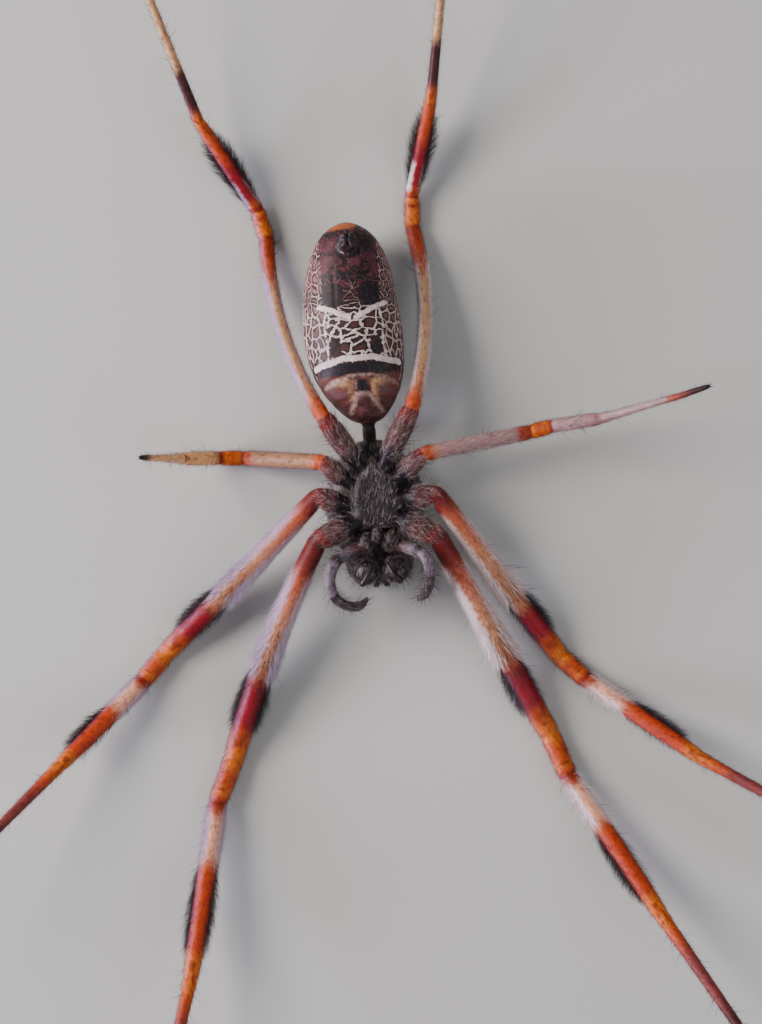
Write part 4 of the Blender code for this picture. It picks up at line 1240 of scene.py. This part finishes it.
def palp_finish(colours):
    """Grey palps with dark joints and a dark tip."""
    paint = Finish("palp_skin", Roughness=0.45, Specular_IOR_Level=0.3)
    place = paint.attribute("place")
    paint.colour = paint.mix(paint.patch(2.2, 4.0, 0.25, 0.75), (0.05, 0.03, 0.045),
                             (0.17, 0.125, 0.17))
    paint.cover(paint.rise(place, 1.6, 0.6), colours.brown)
    for joint in (1.95, 4.15):
        paint.cover(paint.rise(abs(place - joint), 0.34, 0.10), colours.black)
    tip = paint.mix(paint.patch(1.4, 2.0, 0.50, 0.66), colours.black, (0.06, 0.022, 0.026))
    paint.cover(paint.rise(place, 4.2, 4.6), tip)
    return paint.finish(paint.noise(8.0, 4.0), 0.03 * MM)


def skin_finishes(colours):
    """The material that each kind of form wears."""
    front, third, hind = (leg_finish(name, colours) for name in LEG_BANDS)
    abdomen = abdomen_finish(colours)
    back = dark_finish("carapace_skin", colours, colours.silver, amount=0.25)
    chest = dark_finish("chest_skin", colours, colours.grey, amount=0.16, roughness=0.55, grain=0.02)
    jaw = dark_finish("jaw_skin", colours, (0.06, 0.05, 0.10), amount=0.4, roughness=0.26,
                      grain=0.02)
    spinner = dark_finish("spinneret_skin", colours, colours.brown, amount=0.9)
    return dict(zip(KINDS, (front, front, third, hind, abdomen, back, chest, jaw,
                            palp_finish(colours), spinner, spinner)))


def dress_skin(made, skin, colours):
    worn = skin_finishes(colours)
    finishes = list(dict.fromkeys(worn.values()))
    made.data.materials.clear()  # the union leaves an empty slot
    for finish in finishes:
        made.data.materials.append(finish)
    slot_of_kind = np.array([finishes.index(worn[kind]) for kind in KINDS], np.int32)
    first = numbers(made.data.polygons, "loop_start", 1, np.int32)
    corner_vert = numbers(made.data.loops, "vertex_index", 1, np.int32)
    made.data.polygons.foreach_set("material_index", slot_of_kind[skin.kind[corner_vert[first]]])
    made.data.update()


def flesh_nodes():
    return ["abdomen", "cephalothorax", "pedicel", "spinnerets",
            *(part + side for part in ("chelicera_", "palp_") for side in ("right", "left")),
            *("%s_%s" % (leg.name, segment) for leg in LEGS for segment in FLESH_SEGMENTS)]


# Coats: hairs per square millimetre, length, radius, lift off the skin in degrees, curl along
# the lie, spread of direction, bends along one hair, seed, finish, slot and side waves
Coat = namedtuple("Coat", "name density length radius lift curl spread bends seed finish slot"
                  " wave", defaults=(0.0,))
COATS = (
    Coat("brushes", 112, 1.25, 0.017, 48, 0.30, 0.24, 2, 1, "brush", "tibia_red"),
    Coat("pale_first", 200, 0.70, 0.011, 46, 0.3, 0.30, 2, 2, "pale", "femur_cream"),
    Coat("pale_second", 200, 0.64, 0.011, 46, 0.3, 0.30, 2, 9, "pale", "femur_cream"),
    Coat("pale_back", 180, 0.44, 0.010, 38, 0.3, 0.28, 2, 3, "pale", "femur_cream"),
    Coat("fine", 34, 0.46, 0.011, 46, 0.3, 0.2, 1, 4, "brush", "patella_orange"),
    Coat("spines", 0.9, 1.3, 0.022, 60, 0.10, 0.12, 2, 5, "brush", "foot_dark"),
    Coat("chest", 74, 0.72, 0.010, 22, 0.7, 0.9, 5, 6, "silver", "cephalothorax_cuticle", 0.13),
    Coat("jaws", 110, 0.46, 0.008, 24, 0.8, 0.9, 4, 11, "silver", "chelicera_black", 0.13),
    Coat("carapace", 60, 0.60, 0.012, 16, 0.5, 0.35, 4, 10, "silver", "cephalothorax_cuticle", 0.08),
    Coat("bristles", 13, 1.15, 0.017, 56, 0.12, 0.3, 2, 7, "brush", "chelicera_black"),
    Coat("abdomen", 10, 0.24, 0.005, 35, 0.2, 0.3, 1, 8, "down", "abdomen_cuticle"),
)
HAIR_INPUTS = {"Skin": "Geometry", "Mask": "String", "Size": "String", "Density": "Float",
               "Length": "Float", "Radius": "Float", "Lift": "Float", "Curl": "Float",
               "Spread": "Float", "Wave": "Float", "Bends": "Int", "Lowest": "Float",
               "Seed": "Int", "Finish": "Material"}
SHORTEST, LONGEST = 0.6, 1.15  # length of single hairs, as a share of their coat's
TUFTS_PER_METRE = 1400.0
TUFT_STRAY = 2.5  # how much further a tuft strays from the lie than a single hair
SIZE_SEED = 50.0  # added to a coat's seed for the draw of the lengths
HAIR_PATCH = 0.003  # side of a hair's place on the unwrap


def hair_tree():
    """Geometry nodes that set tapered, bent hairs on a skin along its lie."""
    tree = bpy.data.node_groups.new("hair_on_skin", "GeometryNodeTree")
    inputs = {name: tree.interface.new_socket(name=name, in_out="INPUT",
                                              socket_type="NodeSocket" + kind).identifier
              for name, kind in HAIR_INPUTS.items()}
    tree.interface.new_socket(name="Hair", in_out="OUTPUT", socket_type="NodeSocketGeometry")
    work = NodeWork(tree)
    source = tree.nodes.new("NodeGroupInput")
    given = {name: Value(work, source.outputs[name]) for name in inputs}

    def named(name, kind="FLOAT_VECTOR"):
        return work.add("GeometryNodeInputNamedAttribute", {"Name": name}, "Attribute",
                        data_type=kind)

    def keep(geometry, name, value, domain, kind="FLOAT_VECTOR"):
        return work.add("GeometryNodeStoreNamedAttribute", {"Geometry": geometry, "Name": name,
                                                            "Value": value}, "Geometry",
                        data_type=kind, domain=domain)

    dense = named(given["Mask"], "FLOAT") * given["Density"]
    points = work.add("GeometryNodeDistributePointsOnFaces",
                      {"Mesh": given["Skin"], "Density": dense, "Seed": given["Seed"]}, "Points")
    normal = points.beside("Normal")
    points = keep(points, "spot", named("OFBake"), "POINT")
    # Each hair leans off the skin along its lie, and strays by itself and with its tuft
    scatter = work.add("FunctionNodeRandomValue", {"Min": (-1.0,) * 3, "Max": (1.0,) * 3,
                                                   "Seed": given["Seed"]}, data_type="FLOAT_VECTOR")
    position = work.add("GeometryNodeInputPosition")
    tuft = work.add("ShaderNodeTexNoise", {"Vector": position, "Scale": TUFTS_PER_METRE,
                                           "Detail": 1.0}, "Color")
    stray = (scatter + (tuft - (0.5, 0.5, 0.5)) * TUFT_STRAY) * given["Spread"]
    lie = named("lie")
    flat = lie - normal * work.vector("DOT_PRODUCT", lie, normal)
    flat = work.vector("NORMALIZE", flat)
    way = flat * work.math("COSINE", given["Lift"]) + normal * work.math("SINE", given["Lift"])
    way = work.vector("NORMALIZE", way + stray)
    turn = work.add("FunctionNodeAxesToRotation", {"Primary Axis": way, "Secondary Axis": flat},
                    primary_axis="Z", secondary_axis="X")
    size = work.add("FunctionNodeRandomValue", {"Min": SHORTEST, "Max": LONGEST,
                                                "Seed": given["Seed"] + SIZE_SEED},
                    data_type="FLOAT")
    size = size * given["Length"] * named(given["Size"], "FLOAT")
    # One hair is a three-sided cone, bent along X and waved along Y
    cone = work.add("GeometryNodeMeshCone",
                    {"Vertices": 3, "Side Segments": given["Bends"], "Radius Top": 0.0,
                     "Radius Bottom": given["Radius"] / given["Length"], "Depth": 1.0}, "Mesh",
                    fill_type="NGON")
    cone = keep(cone, "patch", cone.beside("UV Map"), "CORNER")
    height = position.part("Z")
    wave = work.math("SINE", height * (2 * math.pi)) * given["Wave"]
    bent = work.joined(height * height * given["Curl"], wave)
    cone = work.add("GeometryNodeSetPosition", {"Geometry": cone, "Offset": bent})
    hair = work.add("GeometryNodeInstanceOnPoints", {"Points": points, "Instance": cone,
                                                     "Rotation": turn, "Scale": size})
    hair = work.add("GeometryNodeRealizeInstances", {"Geometry": hair})
    above = work.math("MAXIMUM", height, given["Lowest"])
    lifted = work.joined(height.beside("X"), height.beside("Y"), above)
    hair = work.add("GeometryNodeSetPosition", {"Geometry": hair, "Position": lifted})
    spot = named("spot") + named("patch") * HAIR_PATCH
    hair = keep(hair, "OFBake", spot, "CORNER", "FLOAT2")
    for name in ("spot", "patch", "lie"):
        hair = work.add("GeometryNodeRemoveAttribute", {"Geometry": hair, "Name": name})
    hair = work.add("GeometryNodeSetMaterial", {"Geometry": hair, "Material": given["Finish"]})
    tree.links.new(hair.socket, tree.nodes.new("NodeGroupOutput").inputs["Hair"])
    return tree, inputs


def grow_coat(coat, skin, tree, inputs, finish, settings):
    """One coat as plain mesh on the skin."""
    made = linked("coat_" + coat.name, skin.data)
    hairs = made.modifiers.new("hair", "NODES")
    hairs.node_group = tree
    density = coat.density * settings.density * 1.0 / MM ** 2
    values = {"Mask": "hair_" + coat.name, "Density": density, "Curl": coat.curl,
              "Size": "size_brushes" if coat.name == "brushes" else "size_others",
              "Length": coat.length * settings.length * MM, "Radius": coat.radius * MM,
              "Lift": math.radians(coat.lift), "Spread": coat.spread, "Wave": coat.wave,
              "Bends": coat.bends, "Lowest": settings.floor_clearance, "Seed": coat.seed,
              "Finish": finish}
    for name, value in values.items():
        hairs[inputs[name]] = value
    final_mesh(made)
    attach(made, "root")


class ORBWEAVER_OT_skin(bpy.types.Operator):
    """Makes one skin for the whole body and its legs"""

    bl_idname = "orbweaver.skin"
    bl_label = "Skin"

    def execute(self, context):
        sheets = skin_sheets(context.scene.orbweaver_skin)
        made = fuse("skin", [mesh_object("form", sheet.points, sheet.faces) for sheet in sheets])
        with edited(made.data) as work:
            bmesh.ops.remove_doubles(work, verts=work.verts, dist=MERGE_WITHIN)
            bmesh.ops.dissolve_degenerate(work, edges=work.edges, dist=SCRAP)
        skin = store_places(made, sheets)
        dress_skin(made, skin, context.scene.orbweaver_colours)
        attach(made, "root")
        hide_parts(*flesh_nodes())
        return {"FINISHED"}


class ORBWEAVER_OT_coat(bpy.types.Operator):
    """Grows every coat of hair on the skin"""

    bl_idname = "orbweaver.coat"
    bl_label = "Coat"

    def execute(self, context):
        colours = context.scene.orbweaver_colours
        finishes = {
            "brush": hair_finish("brush_hair", colours.black, (0.035, 0.018, 0.022)),
            # The pale hair's last colour is a painted violet sky sheen for the left legs
            "pale": hair_finish("pale_hair", colours.lilac, (0.78, 0.70, 0.70), (0.42, 0.34, 0.48)),
            "silver": hair_finish("silver_hair", colours.silver, (0.30, 0.22, 0.22)),
            "down": hair_finish("down_hair", colours.grey, colours.silver),
        }
        tree, inputs = hair_tree()
        for coat in COATS:
            grow_coat(coat, bpy.data.objects["skin"], tree, inputs, finishes[coat.finish],
                      context.scene.orbweaver_coat)
        bpy.data.node_groups.remove(tree)
        return {"FINISHED"}


CLOUDS_PER_METRE = 2500.0
CLOUD_GAIN = 2.2  # how much lighter the clouds are


def glossy_finish(name, colour, roughness, coat):
    """Horn or eye glass, with faint clouds in its colour."""
    paint = Finish(name, Roughness=roughness, Specular_IOR_Level=0.3, Coat_Weight=coat,
                   Coat_Roughness=0.1)
    clouds = paint.noise(CLOUDS_PER_METRE, where=paint.add("ShaderNodeTexCoord", {}, "Object"))
    paint.colour = paint.mix(clouds, colour, [CLOUD_GAIN * part for part in tuple(colour)[:3]])
    return paint.finish()


def horny_piece(name, sheet, finish, slot, *nodes):
    """A hard piece from a sheet, which stands for these nodes."""
    made = mesh_object(name, sheet.points, sheet.faces)
    made.data.materials.append(finish)
    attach(made, "root")
    if nodes:
        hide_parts(*nodes)


class ORBWEAVER_OT_eyes(bpy.types.Operator):
    """Makes the eight eyes as glossy domes"""

    bl_idname = "orbweaver.eyes"
    bl_label = "Eyes"

    def execute(self, context):
        finish = glossy_finish("eye_glass", context.scene.orbweaver_colours.black, roughness=0.06,
                               coat=0.6)
        for node, radius in eye_nodes():
            sheet = bulge_sheet("carapace", middle_of(node) + (0, EYE_SINK, 0),
                                (radius, radius * EYE_DEPTH, radius), rows=14)
            horny_piece("shown_" + node, sheet, finish, "eye_black", node)
        return {"FINISHED"}


# Claws: points ahead of the root and up, radii there, and half the space between a pair's roots
CLAW_ARC = ((0.0, 0.0), (0.16, 0.05), (0.28, -0.02), (0.34, -0.14))
CLAW_RADII = (0.055, 0.045, 0.03, 0.008)
CLAW_ASIDE = 0.07
CLAW_SINK = 0.02  # how far a claw's root lies inside the foot
CLAW_SPREAD = 2  # how fast a pair of claws parts


def claw_sheet():
    """The two hooked claws at the end of each leg, in one sheet."""
    points, faces = [], []
    for leg in LEGS:
        line = LegLine(leg)
        along = line.tangent(len(SEGMENTS) - 1, 1.0)
        up = (Vector((0, 0, 1)) - along * along.z).normalized()
        side = along.cross(up)
        for aside in (-CLAW_ASIDE, CLAW_ASIDE):
            root = line.joints[-1] + side * aside - along * CLAW_SINK
            arc = [root + along * ahead + up * rise + side * aside * ahead * CLAW_SPREAD
                   for ahead, rise in CLAW_ARC]
            claw = limb_sheet("palp", arc, CLAW_RADII, sides=8, between=4)
            faces += [tuple(len(points) + k for k in face) for face in claw.faces]
            points += list(claw.points)
    return SimpleNamespace(points=points, faces=faces)


class ORBWEAVER_OT_fangs(bpy.types.Operator):
    """Makes the fangs and the claws"""

    bl_idname = "orbweaver.fangs"
    bl_label = "Fangs and claws"

    def execute(self, context):
        finish = glossy_finish("fang_horn", (0.010, 0.0035, 0.0035), roughness=0.38, coat=0.0)
        points, radii = FANG
        for side, place in (("right", points), ("left", mirrored(points))):
            horny_piece("shown_fang_" + side, limb_sheet("chelicera", place, radii, sides=18),
                        finish, "fang_black", "fang_" + side)
        horny_piece("claws", claw_sheet(), finish, "foot_dark")
        return {"FINISHED"}


PICTURE_MIDDLE = (0.43, -6.46)  # below the camera, from the waist
PICTURE_ROLL = -4.70  # degrees that the picture is turned from +Y
FLOOR_REACH = 600  # from its middle to its edges
FLOOR_COLOUR = (0.45, 0.44, 0.425, 1.0)
SKY_COLOUR, SKY_STRENGTH = (0.9, 0.93, 1.0, 1.0), 0.32
# Soft lights: place from the waist and size, in metres, and colour
LIGHTS = {"key": ((-0.34, 0.14, 0.26), 0.24, (1.0, 0.95, 0.88)),
          "fill": ((0.32, -0.20, 0.30), 0.4, (0.94, 0.96, 1.0)),
          "rim": ((-0.42, -0.06, 0.09), 0.16, (0.82, 0.78, 1.0))}


def area_light(name, power):
    """A soft light that is aimed at the waist."""
    place, size, colour = LIGHTS[name]
    data = bpy.data.lights.new(name, "AREA")
    data.shape = "DISK"
    data.size = size
    data.energy = power
    data.color = colour
    made = linked(name, data)
    made.location = Vector(place) + Vector(WAIST)
    made.rotation_euler = (-Vector(place)).to_track_quat("-Z", "Y").to_euler()


class ORBWEAVER_OT_stage(bpy.types.Operator):
    """Makes the floor, the lights and the camera"""

    bl_idname = "orbweaver.stage"
    bl_label = "Stage"

    def execute(self, context):
        settings = context.scene.orbweaver_stage
        corners = [(x * FLOOR_REACH, y * FLOOR_REACH, 0)
                   for x, y in ((-1, -1), (1, -1), (1, 1), (-1, 1))]
        floor = mesh_object("floor", corners, [(0, 1, 2, 3)])
        paint = Finish("pale_floor", Roughness=0.7, Base_Color=FLOOR_COLOUR)
        floor.data.materials.append(paint.material)
        for name in LIGHTS:
            area_light(name, getattr(settings, name + "_power"))
        world = bpy.data.worlds.new("studio")
        world.use_nodes = True
        sky = world.node_tree.nodes["Background"].inputs
        sky["Color"].default_value = SKY_COLOUR
        sky["Strength"].default_value = SKY_STRENGTH
        context.scene.world = world
        data = bpy.data.cameras.new("camera")
        data.sensor_width = 36.0
        data.lens = settings.lens
        data.clip_start = 0.01
        data.clip_end = 10.0
        camera = linked("camera", data)
        camera.location = (*to_frame((*PICTURE_MIDDLE, 0))[:2], settings.camera_height)
        camera.rotation_euler = (0.0, 0.0, math.radians(PICTURE_ROLL))
        context.scene.camera = camera
        return {"FINISHED"}


class ORBWEAVER_PT_panel(bpy.types.Panel):
    """Lists the pieces and their sizes and colours"""

    bl_label = "Orb weaver"
    bl_idname = "ORBWEAVER_PT_panel"
    bl_space_type = "VIEW_3D"
    bl_region_type = "UI"
    bl_category = "Orb weaver"

    def draw(self, context):
        scene = context.scene
        for group in (scene.orbweaver_skin, scene.orbweaver_colours, scene.orbweaver_coat,
                      scene.orbweaver_stage):
            box = self.layout.box()
            for name in group.__annotations__:
                box.prop(group, name)
        for operator in OPERATORS:
            self.layout.operator(operator.bl_idname)


GROUPS = {"orbweaver_skin": OrbWeaverSkin, "orbweaver_colours": OrbWeaverColours,
          "orbweaver_coat": OrbWeaverCoat, "orbweaver_stage": OrbWeaverStage}
OPERATORS = (ORBWEAVER_OT_skin, ORBWEAVER_OT_coat, ORBWEAVER_OT_eyes, ORBWEAVER_OT_fangs,
             ORBWEAVER_OT_stage)


CLASSES = (*GROUPS.values(), *OPERATORS, ORBWEAVER_PT_panel)


def register():
    for kind in CLASSES:
        bpy.utils.register_class(kind)
    for name, group in GROUPS.items():
        setattr(bpy.types.Scene, name, PointerProperty(type=group))


def unregister():
    for name in GROUPS:
        delattr(bpy.types.Scene, name)
    for kind in CLASSES:
        bpy.utils.unregister_class(kind)


def main():
    register()
    bpy.ops.orbweaver.skin()
    bpy.ops.orbweaver.coat()
    bpy.ops.orbweaver.eyes()
    bpy.ops.orbweaver.fangs()
    bpy.ops.orbweaver.stage()


if __name__ == "__main__":
    main()
